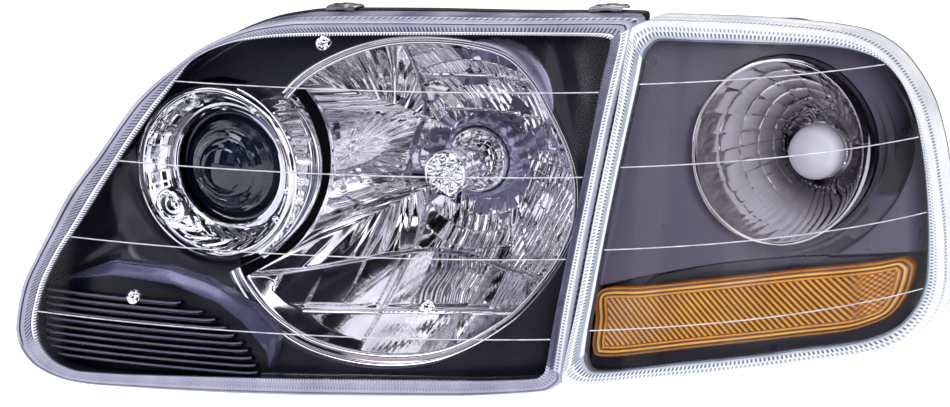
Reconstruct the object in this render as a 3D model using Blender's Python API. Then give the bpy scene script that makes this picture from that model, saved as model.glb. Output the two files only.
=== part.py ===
"""A car headlight assembly: a headlamp with a movable reflector on a
three-point aiming mechanism, a fixed projector beside it, and a wrapping
corner lamp that slides off two guide pins.

Units in the numbers below are millimetres; objects are made in metres.
+X is outboard, +Y points back into the vehicle, +Z is up. The numbers count
from the middle of the headlamp's lens; ORIGIN, a point on the rear face of
the upper mounting boss, becomes the origin of the finished objects. Every
wall is drafted along Y.
"""

import math

import bpy

for old in list(bpy.data.objects):
    bpy.data.objects.remove(old, do_unlink=True)

# ------------------------------------------------------------ lens surface
R1, R2, SB, XC = 600.0, 350.0, math.radians(26.0), -232.0
XB = XC + R1 * math.sin(SB)
YB = R1 * (1 - math.cos(SB))
XC2 = XB - R2 * math.sin(SB)
YC2 = YB + R2 * math.cos(SB)
ORIGIN = (-75.0, 175.0, 73.5)


def plan(x):
    if x <= XB:
        return R1 - math.sqrt(R1 * R1 - (x - XC) ** 2)
    t = (x - XC2) / R2
    lead = max(t - 0.97, 0.0)
    t = min(t, 0.97)
    return YC2 - R2 * math.sqrt(1 - t * t) + lead * R2 * 0.97 / math.sqrt(1 - 0.97**2)


Y00 = plan(0.0)


def lens_y(x, z, off=0.0):
    """The outer lens surface, moved back by off along Y."""
    return plan(x) - Y00 + z * math.tan(math.radians(15)) + 0.00058 * z * z + off


def steep(x):
    """How much deeper along Y a wall of unit thickness is at x."""
    slope = (plan(x + 0.5) - plan(x - 0.5)) / 1.0
    return min(math.sqrt(1 + slope * slope), 2.6)


# ---------------------------------------------------------------- outlines
# headlamp outline and corner lamp outline, front view, (x, z)
HEAD = [(-274.0, -92.0), (-274.0, -80.0), (-271.0, -63.0), (-264.0, -47.0), (-256.0, -30.0), (-247.0, -11.0),
        (-238.0, 3.0), (-229.0, 15.0), (-216.0, 36.0), (-207.0, 49.0), (-196.0, 60.5), (-185.0, 70.0), (-173.0, 79.5),
        (-160.0, 87.0), (-142.0, 94.5), (-118.0, 99.5), (-54.0, 102.0), (0.0, 102.0), (53.0, 102.0), (64.0, 101.0),
        (60.5, 42.0), (56.7, -6.0), (52.3, -55.0), (48.0, -103.0), (43.0, -107.0), (11.0, -110.0), (-32.0, -111.0),
        (-97.0, -113.0), (-144.0, -114.5), (-193.0, -116.0), (-223.0, -117.0), (-239.0, -116.0), (-252.0, -113.0),
        (-262.0, -108.5), (-270.0, -101.0)]
HEAD_WINDOW = [(-259.5, -85.7), (-259.4, -78.0), (-255.8, -61.7), (-246.5, -41.3), (-234.7, -22.7), (-220.1, 2.9),
               (-207.2, 25.7), (-193.9, 46.6), (-181.8, 64.4), (-175.6, 73.3), (-166.5, 79.5), (-152.4, 85.3),
               (-133.3, 89.0), (-110.7, 91.1), (-53.2, 93.5), (1.6, 94.3), (57.1, 92.9), (55.6, 69.0), (53.3, 24.3),
               (50.1, -20.8), (46.0, -63.4), (42.7, -99.6), (21.5, -101.2), (-32.4, -101.7), (-89.0, -103.3),
               (-149.0, -105.8), (-206.8, -109.1), (-232.6, -109.5), (-246.8, -105.1), (-255.8, -97.2)]
CORNER = [(70.5, 98.0), (75.5, 101.0), (102.0, 99.5), (130.0, 96.0), (157.0, 90.0), (170.0, 85.0), (179.0, 78.5),
          (187.0, 69.0), (194.0, 56.0), (200.7, 38.5), (206.2, 13.7), (210.2, -15.2), (213.3, -46.7), (214.3, -74.6),
          (213.2, -85.8), (209.9, -96.0), (203.9, -103.7), (194.9, -105.9), (174.9, -104.6), (141.8, -104.0),
          (94.4, -104.3), (60.5, -104.7), (54.6, -102.5), (59.3, -58.0), (64.0, -1.0), (68.2, 52.0)]
CORNER_WINDOW = [(81.8, 89.4), (103.4, 88.4), (131.3, 85.3), (157.9, 81.2), (171.6, 76.9), (183.4, 69.0),
                 (192.2, 55.4), (198.9, 35.0), (203.3, 11.3), (206.9, -19.6), (208.8, -50.3), (208.8, -71.2),
                 (206.1, -83.7), (199.7, -92.8), (188.9, -95.9), (163.0, -94.3), (137.4, -94.4), (110.3, -94.6),
                 (74.6, -96.6), (67.1, -93.4), (63.1, -85.1), (63.9, -61.0), (67.4, -29.8), (71.2, 9.7),
                 (75.1, 51.7), (77.6, 79.5)]
OPENING = [(-47.3, 88.3), (-14.5, 85.4), (8.1, 79.4), (24.5, 64.8), (33.1, 50.9), (41.7, 26.8), (45.3, 6.9),
           (44.8, -19.4), (38.3, -40.5), (27.2, -58.9), (16.9, -71.7), (-4.1, -87.5), (-25.4, -97.3), (-52.0, -101.0),
           (-78.6, -99.0), (-102.7, -92.2), (-122.8, -81.0), (-136.6, -69.0), (-147.8, -54.6), (-153.4, -41.0),
           (-155.3, -23.1), (-154.6, 3.6), (-147.4, 25.9), (-135.4, 46.5), (-119.8, 64.9), (-97.9, 78.3), (-75.0, 85.9)]
BOWL = [(178.7, 15.0), (176.5, 29.0), (171.9, 42.4), (165.4, 54.3), (157.2, 63.8), (147.9, 70.1), (138.0, 72.9),
        (128.4, 72.1), (119.6, 67.7), (112.4, 60.1), (107.3, 49.9), (104.6, 37.7), (104.6, 24.5), (107.2, 11.0),
        (112.3, -1.8), (119.4, -13.1), (128.1, -22.3), (137.6, -28.6), (147.3, -31.7), (156.6, -31.4), (164.8, -27.7),
        (171.5, -20.7), (176.2, -10.8), (178.6, 1.4)]
LOUVRE = [(-252.0, -67.4), (-219.3, -65.1), (-189.0, -66.5), (-169.2, -70.2), (-149.5, -79.9), (-133.0, -92.3),
          (-125.5, -100.0)]
FIN = [(-248.5, -62.5), (-226.6, -59.9), (-186.2, -61.6), (-156.5, -70.4), (-140.0, -81.0), (-125.4, -95.9),
       (-120.6, -99.5), (-118.8, -88.0), (-134.5, -72.8), (-163.9, -59.1), (-193.7, -52.6), (-227.5, -52.1)]

HC = (-90.0, -4.0)          # centre of the headlamp outline
CC = (135.0, -5.0)          # centre of the corner lamp outline
MAIN = (-44.0, 3.5)         # axis of the main reflector
PROJ = (-164.5, 6.0)        # axis of the projector
TURN = (147.0, 11.0)        # axis of the turn signal bulb
PIVOT = (-110.0, 60.0)      # fixed ball of the aiming mechanism
LEVER = 130.0               # from the fixed ball to each adjuster
BALL_Y = 100.0
WALL_Y = 150.0              # rear face of the headlamp housing
VERT = (PIVOT[0], PIVOT[1] - LEVER)
HORI = (PIVOT[0] + LEVER, PIVOT[1])


def angles_of(outline, centre, count, corners):
    out = [2 * math.pi * k / count for k in range(count)]
    for x, z in corners:
        out.append(math.atan2(z - centre[1], x - centre[0]) % (2 * math.pi))
    out.sort()
    kept = []
    for a in out:
        if kept and a - kept[-1] < 0.03:
            kept[-1] = 0.5 * (a + kept[-1]) if a % (2 * math.pi / count) else kept[-1]
            continue
        kept.append(a)
    return kept


def reach(outline, centre, a):
    """Distance from centre to the outline in direction a."""
    dx, dz = math.cos(a), math.sin(a)
    best = 0.0
    for k, p in enumerate(outline):
        q = outline[(k + 1) % len(outline)]
        ex, ez = q[0] - p[0], q[1] - p[1]
        det = -dx * ez + dz * ex
        if abs(det) < 1e-12:
            continue
        wx, wz = p[0] - centre[0], p[1] - centre[1]
        r = (-wx * ez + wz * ex) / det
        s = (dx * wz - dz * wx) / det
        if -1e-9 <= s <= 1 + 1e-9 and r > best:
            best = r
    return best


def circle_far(centre, mid, radius, a):
    """Distance from centre to where direction a leaves the circle (0 if it misses)."""
    dx, dz = math.cos(a), math.sin(a)
    wx, wz = mid[0] - centre[0], mid[1] - centre[1]
    along = wx * dx + wz * dz
    gap = wx * wx + wz * wz - along * along
    if gap >= radius * radius or along < 0:
        return 0.0
    return along + math.sqrt(radius * radius - gap)


def circle_near(centre, mid, radius, a):
    dx, dz = math.cos(a), math.sin(a)
    wx, wz = mid[0] - centre[0], mid[1] - centre[1]
    along = wx * dx + wz * dz
    gap = wx * wx + wz * wz - along * along
    if gap >= radius * radius or along < 0:
        return 1e9
    return along - math.sqrt(radius * radius - gap)


# ------------------------------------------------------------------ meshes
def mesh(name, points, faces, hidden=False):
    data = bpy.data.meshes.new(name)
    data.from_pydata([((x - ORIGIN[0]) / 1000, (y - ORIGIN[1]) / 1000, (z - ORIGIN[2]) / 1000) for x, y, z in points], [], faces)
    data.update()
    volume = 0.0
    for poly in data.polygons:
        ids = list(poly.vertices)
        a = data.vertices[ids[0]].co
        for k in range(1, len(ids) - 1):
            b, c = data.vertices[ids[k]].co, data.vertices[ids[k + 1]].co
            volume += a.dot(b.cross(c))
    if volume < 0:
        data.flip_normals()
    obj = bpy.data.objects.new(name, data)
    bpy.context.scene.collection.objects.link(obj)
    if hidden:
        obj.hide_render = True
        obj.display_type = "WIRE"
    return obj


def body(name, rings, first=None, last=None, hidden=False):
    """Rings of equal length joined in order; each end is a fan to a point, or the last ring joins the first."""
    n = len(rings[0])
    points = [p for ring in rings for p in ring]
    faces = []
    pairs = [(k, k + 1) for k in range(len(rings) - 1)]
    if first is None and last is None:
        pairs.append((len(rings) - 1, 0))
    for a, b in pairs:
        for i in range(n):
            j = (i + 1) % n
            faces.append((a * n + i, a * n + j, b * n + j, b * n + i))
    if first is not None:
        points.append(first)
        for i in range(n):
            faces.append((len(points) - 1, (i + 1) % n, i))
    if last is not None:
        points.append(last)
        base = (len(rings) - 1) * n
        for i in range(n):
            faces.append((len(points) - 1, base + i, base + (i + 1) % n))
    return mesh(name, points, faces, hidden)


def turned(name, mid, profile, n=24, hidden=False, lobes=0):
    """A body turned about an axis along Y through mid. profile is (radius, y[, lobe]); radius 0 at both ends closes it."""
    ends = [None, None]
    rows = list(profile)
    if rows[0][0] == 0:
        ends[0] = (mid[0], rows[0][1], mid[1])
        rows = rows[1:]
    if rows[-1][0] == 0:
        ends[1] = (mid[0], rows[-1][1], mid[1])
        rows = rows[:-1]
    rings = []
    for row in rows:
        swell = row[2] if len(row) > 2 else 0.0
        ring = []
        for k in range(n):
            a = 2 * math.pi * (k + 0.5) / n
            r = row[0] + swell * math.cos(lobes * a)
            ring.append((mid[0] + r * math.cos(a), row[1], mid[1] + r * math.sin(a)))
        rings.append(ring)
    return body(name, rings, ends[0], ends[1], hidden)


def slab(name, corners_xz, y0, y1, hidden=False):
    """A flat outline in the front view, extruded along Y."""
    front = [(x, y0, z) for x, z in corners_xz]
    back = [(x, y1, z) for x, z in corners_xz]
    n = len(front)
    faces = [tuple(range(n)), tuple(range(2 * n - 1, n - 1, -1))]
    for i in range(n):
        j = (i + 1) % n
        faces.append((i, n + i, n + j, j))
    return mesh(name, front + back, faces, hidden)


def upright(name, corners_xy, z0, z1, hidden=False):
    """A flat outline in the top view, extruded along Z."""
    low = [(x, y, z0) for x, y in corners_xy]
    high = [(x, y, z1) for x, y in corners_xy]
    n = len(low)
    faces = [tuple(range(n)), tuple(range(2 * n - 1, n - 1, -1))]
    for i in range(n):
        j = (i + 1) % n
        faces.append((i, n + i, n + j, j))
    return mesh(name, low + high, faces, hidden)


def combine(target, other, kind):
    modifier = target.modifiers.new(kind.lower() + "_" + other.name, "BOOLEAN")
    modifier.object = other
    modifier.operation = kind
    modifier.solver = "EXACT"


def ring_of(centre, angles, radii, height):
    out = []
    for a, r in zip(angles, radii):
        x, z = centre[0] + r * math.cos(a), centre[1] + r * math.sin(a)
        out.append((x, height(x, z), z))
    return out


def at(off):
    return lambda x, z: lens_y(x, z, off)


# ---------------------------------------------------------------- headlamp
HA = angles_of(HEAD, HC, 42, [(-274.0, -92.0), (64.0, 101.0), (48.0, -103.0), (-262.0, -108.5), (-173.0, 79.5)])
HR = [reach(HEAD, HC, a) for a in HA]
HW = [reach(HEAD_WINDOW, HC, a) for a in HA]


def grown(radii, more):
    return [r + more for r in radii]


def scaled(radii, k):
    return [r * k for r in radii]


def head(radii, height):
    return ring_of(HC, HA, radii, height)


def inner_skin(base):
    return lambda x, z: lens_y(x, z, base * steep(x))


# clear lens: a dome with a wall going back to the seal
body("headlamp_lens",
     [head(scaled(HR, k), at(0.0)) for k in (0.35, 0.7, 0.9)]
     + [head(HR, at(0.0)), head(grown(HR, 0.5), at(30.0)), head(grown(HR, -2.6), at(30.0)), head(grown(HR, -2.8), inner_skin(3.0))]
     + [head(scaled(HR, k), inner_skin(3.0)) for k in (0.9, 0.7, 0.35)],
     (HC[0], lens_y(*HC), HC[1]), (HC[0], lens_y(*HC, 3.0 * steep(HC[0])), HC[1]))

body("headlamp_seal",
     [head(grown(HR, -0.2), at(30.4)), head(grown(HR, 0.2), at(32.2)), head(grown(HR, -3.0), at(32.2)), head(grown(HR, -2.6), at(30.4))])

BACK = scaled(HR, 0.90)
FLAT = grown(BACK, -14.0)
housing = body("headlamp_housing",
               [head(FLAT, lambda x, z: WALL_Y), head(BACK, lambda x, z: WALL_Y - 18),
                head(grown(HR, -0.6), at(38.0)), head(grown(HR, 2.4), at(37.0)), head(grown(HR, 2.4), at(29.0)),
                head(grown(HR, 0.8), at(29.0)), head(grown(HR, 0.8), at(32.6)), head(grown(HR, -3.8), at(32.6)),
                head(grown(BACK, -3.0), lambda x, z: WALL_Y - 19), head(grown(FLAT, -2.4), lambda x, z: WALL_Y - 3)],
               (HC[0], WALL_Y, HC[1]), (HC[0], WALL_Y - 3, HC[1]))
BOSSES = {"upper": (-75.0, 67.5), "lower": (-200.0, -70.0), "outer": (9.0, -70.0)}
for tag, spot in BOSSES.items():
    post = turned("make_boss_" + tag, spot, [(0, WALL_Y - 1.5), (10.0, WALL_Y - 1.5), (9.5, WALL_Y + 25), (0, WALL_Y + 25)], 20, True)
    combine(housing, post, "UNION")
for tag, spot in BOSSES.items():
    bore = turned("cut_boss_" + tag, spot, [(0, WALL_Y + 8), (2.7, WALL_Y + 8), (2.7, WALL_Y + 27), (0, WALL_Y + 27)], 16, True)
    combine(housing, bore, "DIFFERENCE")
for tag, spot, radius in (("main", MAIN, 50.0), ("aux", PROJ, 33.0), ("vert", VERT, 3.8), ("hori", HORI, 3.8),
                          ("pivot", PIVOT, 3.4), ("vent_low", (-60.0, -68.0), 4.0), ("vent_side", (-216.0, -40.0), 4.0)):
    hole = turned("cut_" + tag, spot, [(0, WALL_Y - 8), (radius, WALL_Y - 8), (radius, WALL_Y + 5), (0, WALL_Y + 5)], 32 if radius > 10 else 16, True)
    combine(housing, hole, "DIFFERENCE")


# bezel: a dark tray behind the window with one opening for both optics
def opening(a, grow=0.0):
    return max(reach(OPENING, HC, a) + grow, circle_far(HC, PROJ, 55.2 + grow, a))


HO = [opening(a) for a in HA]
WALL = [max(w - 3.2, circle_far(HC, PROJ, 55.8, a)) for a, w in zip(HA, HW)]
INB = [min(o, w - 0.6) for o, w in zip(HO, WALL)]
floor_ring = [0.5 * (a + b) for a, b in zip(INB, WALL)]
body("inner_bezel",
     [head(INB, at(27.5)), head(floor_ring, at(28.0)), head(WALL, at(28.0)), head(WALL, at(9.0)),
      head(grown(WALL, 0.9), at(9.0)), head(grown(WALL, 0.9), at(30.0)), head(floor_ring, at(30.0)), head(INB, at(31.5))])

# bright rim round the main opening, behind the edge of the bezel
MA = [2 * math.pi * k / 40 for k in range(40)]


def main_edge(a, grow, clear):
    return min(reach(OPENING, MAIN, a) + grow, circle_near(MAIN, PROJ, clear, a))


def main_ring(radii, height):
    return ring_of(MAIN, MA, radii, height)


RIM = [main_edge(a, 2.5, 62.0) for a in MA]
body("opening_trim",
     [main_ring(grown(RIM, -3.5), at(33.0)), main_ring(grown(RIM, 1.5), at(33.0)), main_ring(grown(RIM, 1.5), at(35.0)), main_ring(grown(RIM, -3.5), at(35.0))])

# main reflector: a deep bowl that moves behind the trim
def spare(a):
    """How far the mirror reaches past the opening: less on the outboard side."""
    return 3.0 - 3.0 * max(math.cos(a), 0.0)


MOUTH = [main_edge(a, spare(a), 63.0) for a in MA]
VERTEX = 115.0
EDGE_OFF = 45.0


def bowl_y(radii, k, extra=0.0):
    """Heights at fraction k from the bulb hole to the mouth."""
    out = []
    for a, r in zip(MA, radii):
        q = 20.5 + (r - 20.5) * k
        x, z = MAIN[0] + r * math.cos(a), MAIN[1] + r * math.sin(a)
        edge = lens_y(x, z, EDGE_OFF)
        y = VERTEX - (VERTEX - edge) * (0.25 * k + 0.75 * k * k) + extra
        out.append((MAIN[0] + q * math.cos(a), y, MAIN[1] + q * math.sin(a)))
    return out


def behind(x, z):
    """Rear surface of the main reflector at (x, z)."""
    a = math.atan2(z - MAIN[1], x - MAIN[0])
    r = main_edge(a, spare(a), 63.0)
    k = max((math.hypot(x - MAIN[0], z - MAIN[1]) - 20.5) / (r - 20.5), 0.0)
    edge = lens_y(MAIN[0] + r * math.cos(a), MAIN[1] + r * math.sin(a), EDGE_OFF)
    return VERTEX - (VERTEX - edge) * (0.25 * k + 0.75 * k * k) + 4.0


body("main_reflector",
     [bowl_y(MOUTH, k) for k in (1.0, 0.8, 0.6, 0.4, 0.2, 0.0)]
     + [main_ring([20.5] * 40, lambda x, z: 120.5), main_ring([24.0] * 40, lambda x, z: 120.5), main_ring([24.0] * 40, lambda x, z: 119.0)]
     + [bowl_y(MOUTH, k, 3.6) for k in (0.2, 0.4, 0.6, 0.8, 1.0)])

# bulb, its base, the twist ring and the glare shield
turned("main_bulb", MAIN, [(0, 62), (4.5, 63.5), (7.5, 68), (7.5, 100), (6.5, 112), (6.5, 119.0), (0, 119.0)], 20)
turned("bulb_base", MAIN, [(0, 119.4), (20.0, 119.4), (20.0, 120.9), (24.5, 120.9), (24.5, 123.4), (14.0, 123.4), (13.0, 141.0), (0, 141.0)], 24)
turned("bulb_retaining_ring", MAIN, [(14.6, 123.8), (27.5, 123.8, 1.2), (27.5, 131.0, 1.2), (25.0, 132.0), (14.6, 132.0)], 36, lobes=3)
turned("glare_shield", MAIN, [(0, 51.0), (11.5, 51.0), (13.5, 52.5), (13.5, 62.0), (10.8, 108.0), (10.0, 108.0), (12.5, 62.0), (12.5, 54.0), (0, 54.0)], 24)

# projector: funnel ring, lens, barrel, bowl, bulb and holder
turned("projector_ring", PROJ,
       [(53.0, -14.0), (51.8, -15.5), (50.0, -13.5), (45.0, -2.0), (37.0, 5.0), (35.5, 6.0), (35.5, 8.5), (38.0, 8.5),
        (47.0, 0.5), (51.0, -10.0), (51.0, 10.0), (53.0, 10.0)], 32)
turned("projector_lens", PROJ, [(0, -6.5), (12, -4.8), (22, 0.0), (29.0, 7.2), (31.5, 10.6), (33.8, 11.2), (33.8, 15.0), (0, 15.0)], 24)
turned("projector_barrel", PROJ, [(48.8, 10.6), (50.8, 10.6), (47.0, 66.0), (35.0, 66.0), (35.0, 15.6), (37.0, 15.6), (37.0, 63.5), (44.5, 63.5)], 24)
turned("projector_bowl", PROJ, [(44.0, 66.6), (46.5, 66.6), (43.0, 85.0), (33.0, 100.5), (16.0, 108.5), (13.0, 109.0), (13.0, 106.5), (31.0, 98.0), (40.5, 83.5)], 22)
turned("aux_bulb", PROJ, [(0, 78.0), (3.0, 79.0), (5.0, 82.0), (5.0, 104.0), (5.0, 111.5), (0, 111.5)], 16)
turned("aux_bulb_holder", PROJ, [(0, 112.0), (12.0, 112.0), (12.0, 113.2), (16.5, 113.2), (16.5, 118.0), (10.0, 119.0), (9.0, 132.0), (0, 132.0)], 20)

# louvre panel and crescent fin, low on the inboard side
edge_top = sorted(LOUVRE)


def top_at(x):
    for (x0, z0), (x1, z1) in zip(edge_top, edge_top[1:]):
        if x0 <= x <= x1:
            return z0 + (z1 - z0) * (x - x0) / (x1 - x0)
    return edge_top[0][1] if x < edge_top[0][0] else edge_top[-1][1]


def right_at(z):
    """x where the top edge of the panel comes down to z."""
    for (x0, z0), (x1, z1) in zip(edge_top[1:], edge_top[2:]):
        if z1 <= z <= z0:
            return x0 + (x1 - x0) * (z0 - z) / (z0 - z1)
    return edge_top[-1][0] if z < edge_top[-1][1] else edge_top[1][0]


def left_at(z):
    return -250.5 + 0.13 * (-z - 68) if z > -98 else -246.6 + 0.9 * (-z - 98)


rows = []
for k in range(9):
    z = -68.0 - k * 3.6
    rows += [(z, 19.0), (z - 1.0, 18.5), (z - 1.3, 22.5), (z - 3.3, 22.5)]
strips = [(z, off) for z, off in rows]
NX = 4
front, rear = [], []
for z, off in strips:
    for i in range(NX + 1):
        x = left_at(z) + (right_at(z) - 1.0 - left_at(z)) * i / NX
        front.append((x, lens_y(x, z, off), z))
        rear.append((x, lens_y(x, z, 25.0), z))
w = NX + 1
m = len(strips)
faces = []
for j in range(m - 1):
    for i in range(NX):
        a = j * w + i
        faces.append((a, a + 1, a + w + 1, a + w))
        b = m * w + a
        faces.append((b, b + w, b + w + 1, b + 1))
for j in range(m - 1):
    a, b = j * w, m * w + j * w
    faces.append((a, a + w, b + w, b))
    a, b = j * w + NX, m * w + j * w + NX
    faces.append((a, b, b + w, a + w))
for i in range(NX):
    a, b = i, m * w + i
    faces.append((a, b, b + 1, a + 1))
    a, b = (m - 1) * w + i, m * w + (m - 1) * w + i
    faces.append((a, a + 1, b + 1, b))
mesh("louvre_insert", front + rear, faces)

half = len(FIN) // 2
low, top = FIN[:half], list(reversed(FIN[half:]))
points, faces = [], []
for (xa, za), (xb, zb) in zip(low, top):
    for x, z, off in ((xa, za, 14.0), (xb, zb, 14.0), (xb, zb, 25.0), (xa, za, 25.0)):
        points.append((x, lens_y(x, z, off), z))
for k in range(half - 1):
    for i in range(4):
        j = (i + 1) % 4
        faces.append((4 * k + i, 4 * k + j, 4 * k + 4 + j, 4 * k + 4 + i))
faces += [(3, 2, 1, 0), tuple(4 * (half - 1) + i for i in range(4))]
mesh("bezel_fin", points, faces)


# aiming mechanism: three ball joints; two are on threaded studs
def socket(name, spot, foot=0.6):
    """A post standing on the back of the reflector, ending in a pocket round the ball."""
    n = 20
    rings = []
    for r, height in ((7.0 if foot > 1 else 7.5, lambda x, z: behind(x, z) + foot), (7.0, lambda x, z: BALL_Y + 4.0)):
        rings.append([(spot[0] + r * math.cos(2 * math.pi * k / n), 0, spot[1] + r * math.sin(2 * math.pi * k / n)) for k in range(n)])
        rings[-1] = [(x, height(x, z), z) for x, _, z in rings[-1]]
    for r, y in ((4.6, BALL_Y + 4.0), (5.5, BALL_Y + 1.6), (5.7, BALL_Y), (5.2, BALL_Y - 2.6), (3.4, BALL_Y - 4.8)):
        rings.append([(spot[0] + r * math.cos(2 * math.pi * k / n), y, spot[1] + r * math.sin(2 * math.pi * k / n)) for k in range(n)])
    return body(name, rings, (spot[0], behind(*spot) + foot, spot[1]), (spot[0], BALL_Y - 5.7, spot[1]))


BALL = [(0, -5.0), (2.6, -4.2), (4.4, -2.3), (5.0, 0.0), (4.0, 3.0), (3.0, 4.2)]
socket("pivot_socket", PIVOT, 4.0)
socket("vertical_adjuster_socket", VERT)
socket("horizontal_adjuster_socket", HORI)
turned("pivot_stud", PIVOT, [(r, BALL_Y + y) for r, y in BALL] + [(3.0, 138.0), (7.0, 138.0), (7.0, 146.6), (3.0, 146.6), (3.0, 158.0), (0, 158.0)], 16)
for tag, spot in (("vertical", VERT), ("horizontal", HORI)):
    turned(tag + "_adjuster_stud", spot, [(r, BALL_Y + y) for r, y in BALL] + [(3.0, 172.0), (0, 172.0)], 16)
    turned(tag + "_adjuster_knob", spot, [(3.4, 150.5), (12.5, 150.5, 0.9), (12.5, 160.0, 0.9), (7.5, 161.0), (6.5, 168.0), (3.4, 168.0)], 36, lobes=9)

# service caps on the rear wall
turned("main_service_cap", MAIN,
       [(0, 168.0), (38.0, 168.0, 2.5), (42.0, 166.0, 2.5), (45.5, 154.5), (57.0, 154.5), (57.0, 150.5), (49.4, 150.5), (49.0, 143.5),
        (46.0, 143.5), (46.0, 151.0), (42.5, 154.5), (39.0, 163.0), (0, 164.5)], 36, lobes=4)
turned("aux_service_cap", PROJ,
       [(0, 164.0), (23.0, 164.0, 2.0), (26.5, 162.0, 2.0), (29.5, 154.0), (39.0, 154.0), (39.0, 150.5), (32.4, 150.5), (32.0, 143.5),
        (29.0, 143.5), (29.0, 151.0), (25.5, 159.5), (0, 160.5)], 30, lobes=3)
for tag, spot in (("low", (-60.0, -68.0)), ("side", (-216.0, -40.0))):
    turned("vent_cap_" + tag, spot, [(0, 159.0), (6.5, 159.0), (8.0, 157.0), (8.0, 150.5), (3.6, 150.5), (3.6, 144.0), (0, 144.0)], 18)


# spring clips over the flange of the lens
def clip(name, x0, z0, up):
    """Straddles the flange at (x0, z0); up is +1 at the top and -1 underneath."""
    wide = 7.0
    points = []
    for x in (x0 - wide, x0 + wide):
        for z, off in ((0.6, 26.5), (5.0, 26.5), (5.0, 41.0), (0.8, 41.0), (0.8, 39.4), (3.6, 38.6), (3.6, 28.4), (0.6, 28.4)):
            points.append((x, lens_y(x, z0, off), z0 + up * z))
    faces = [tuple(range(8)), tuple(range(15, 7, -1))]
    for i in range(8):
        j = (i + 1) % 8
        faces.append((i, 8 + i, 8 + j, j))
    return mesh(name, points, faces)


clip("lens_clip_1", -101.0, 101.6, 1)
clip("lens_clip_2", 46.0, 103.2, 1)
clip("lens_clip_3", -180.0, -116.4, -1)
clip("lens_clip_4", -20.0, -111.8, -1)

# bracket that the guide pins of the corner lamp slide through
PINS = {"upper": (100.0, 20.0), "lower": (105.0, -60.0)}
bracket = upright("corner_lamp_bracket",
                  [(26, 150.4), (48, 150.4), (48, 226.0), (120, 226.0), (120, 230.0), (44, 230.0), (44, 154.4), (26, 154.4)], -78.0, 35.0)
for tag, spot in PINS.items():
    hole = turned("cut_pin_" + tag, spot, [(0, 222.0), (4.4, 222.0), (4.4, 234.0), (0, 234.0)], 20, True)
    combine(bracket, hole, "DIFFERENCE")

# ------------------------------------------------------------- corner lamp
CA = angles_of(CORNER, CC, 38, [(70.5, 98.0), (54.6, -102.5), (209.9, -96.0), (179.0, 78.5)])
CR = [reach(CORNER, CC, a) for a in CA]
CW = [reach(CORNER_WINDOW, CC, a) for a in CA]


def corner(radii, height):
    return ring_of(CC, CA, radii, height)


def rim_y(off):
    return lambda x, z: lens_y(x, z, off)


body("corner_lens",
     [corner(scaled(CR, k), at(0.0)) for k in (0.35, 0.7, 0.9)]
     + [corner(CR, at(0.0)), corner(grown(CR, 0.4), at(25.0)), corner(grown(CR, -2.4), at(25.0)), corner(grown(CR, -2.6), inner_skin(3.0))]
     + [corner(scaled(CR, k), inner_skin(3.0)) for k in (0.9, 0.7, 0.35)],
     (CC[0], lens_y(*CC), CC[1]), (CC[0], lens_y(*CC, 3.0 * steep(CC[0])), CC[1]))
body("corner_seal",
     [corner(grown(CR, -0.2), at(25.4)), corner(grown(CR, 0.1), at(27.2)), corner(grown(CR, -3.0), at(27.2)), corner(grown(CR, -2.5), at(25.4))])

REAR = 205.0


def rear_y(x, z):
    return max(REAR, lens_y(x, z, 44.0))


shell = body("corner_housing",
             [corner(scaled(CR, 0.60), lambda x, z: REAR), corner(scaled(CR, 0.90), rear_y),
              corner(grown(CR, -0.6), at(33.0)), corner(grown(CR, 1.7), at(32.0)), corner(grown(CR, 1.7), at(24.2)),
              corner(grown(CR, 0.7), at(24.2)), corner(grown(CR, 0.7), at(27.6)), corner(grown(CR, -3.6), at(27.6)),
              corner(scaled(CR, 0.87), lambda x, z: max(REAR - 3.0, lens_y(x, z, 40.0) - 1.0)), corner(scaled(CR, 0.58), lambda x, z: REAR - 3.0)],
             (CC[0], REAR, CC[1]), (CC[0], REAR - 3.0, CC[1]))
hole = turned("cut_turn", TURN, [(0, REAR - 8), (17.0, REAR - 8), (17.0, REAR + 5), (0, REAR + 5)], 28, True)
combine(shell, hole, "DIFFERENCE")
for tag, spot in PINS.items():
    turned("corner_guide_pin_" + tag, spot, [(0, REAR + 0.4), (7.0, REAR + 0.4), (7.0, REAR + 5.0), (4.0, REAR + 5.0), (4.0, 255.0), (2.0, 262.0), (0, 262.0)], 20)

# bowl reflector: from the bulb hole to a rim that follows the lens
BA = [2 * math.pi * k / 30 for k in range(30)]
BR = [reach(BOWL, TURN, a) for a in BA]
TURN_Y = 187.0


def cup(k, extra=0.0, spread=0.0):
    out = []
    for a, r in zip(BA, BR):
        ex, ez = TURN[0] + r * math.cos(a), TURN[1] + r * math.sin(a)
        edge = lens_y(ex, ez, 8.0 + 2.6 * steep(ex))
        q = 17.0 + (r - 17.0) * k + spread
        y = TURN_Y - (TURN_Y - edge) * (0.45 * k + 0.55 * k * k) + extra
        out.append((TURN[0] + q * math.cos(a), y, TURN[1] + q * math.sin(a)))
    return out


def cup_edge(grow, off):
    out = []
    for a, r in zip(BA, BR):
        x, z = TURN[0] + r * math.cos(a), TURN[1] + r * math.sin(a)
        out.append((TURN[0] + (r + grow) * math.cos(a), lens_y(x, z, off + 2.6 * steep(x)), TURN[1] + (r + grow) * math.sin(a)))
    return out


body("corner_reflector",
     [cup(k) for k in (0.0, 0.25, 0.5, 0.75, 1.0)] + [cup_edge(2.2, 8.0), cup_edge(2.6, 20.0)]
     + [cup(k, 4.0, 1.6) for k in (0.78, 0.5, 0.25)] + [cup(0.0, 3.0, 0.0)])


# corner bezel: a tray with the opening for the bowl
def tray_off(x, z):
    t = min(max((x - 95.0) / 85.0, 0.0), 1.0)
    upper = 17.0 + 9.0 * t
    s = min(max((-z - 38.0) / 6.0, 0.0), 1.0)
    deep = upper + (30.0 - upper) * s
    return deep - 6.0 * min(max((x - 180.0) / 15.0, 0.0), 1.0)


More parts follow.
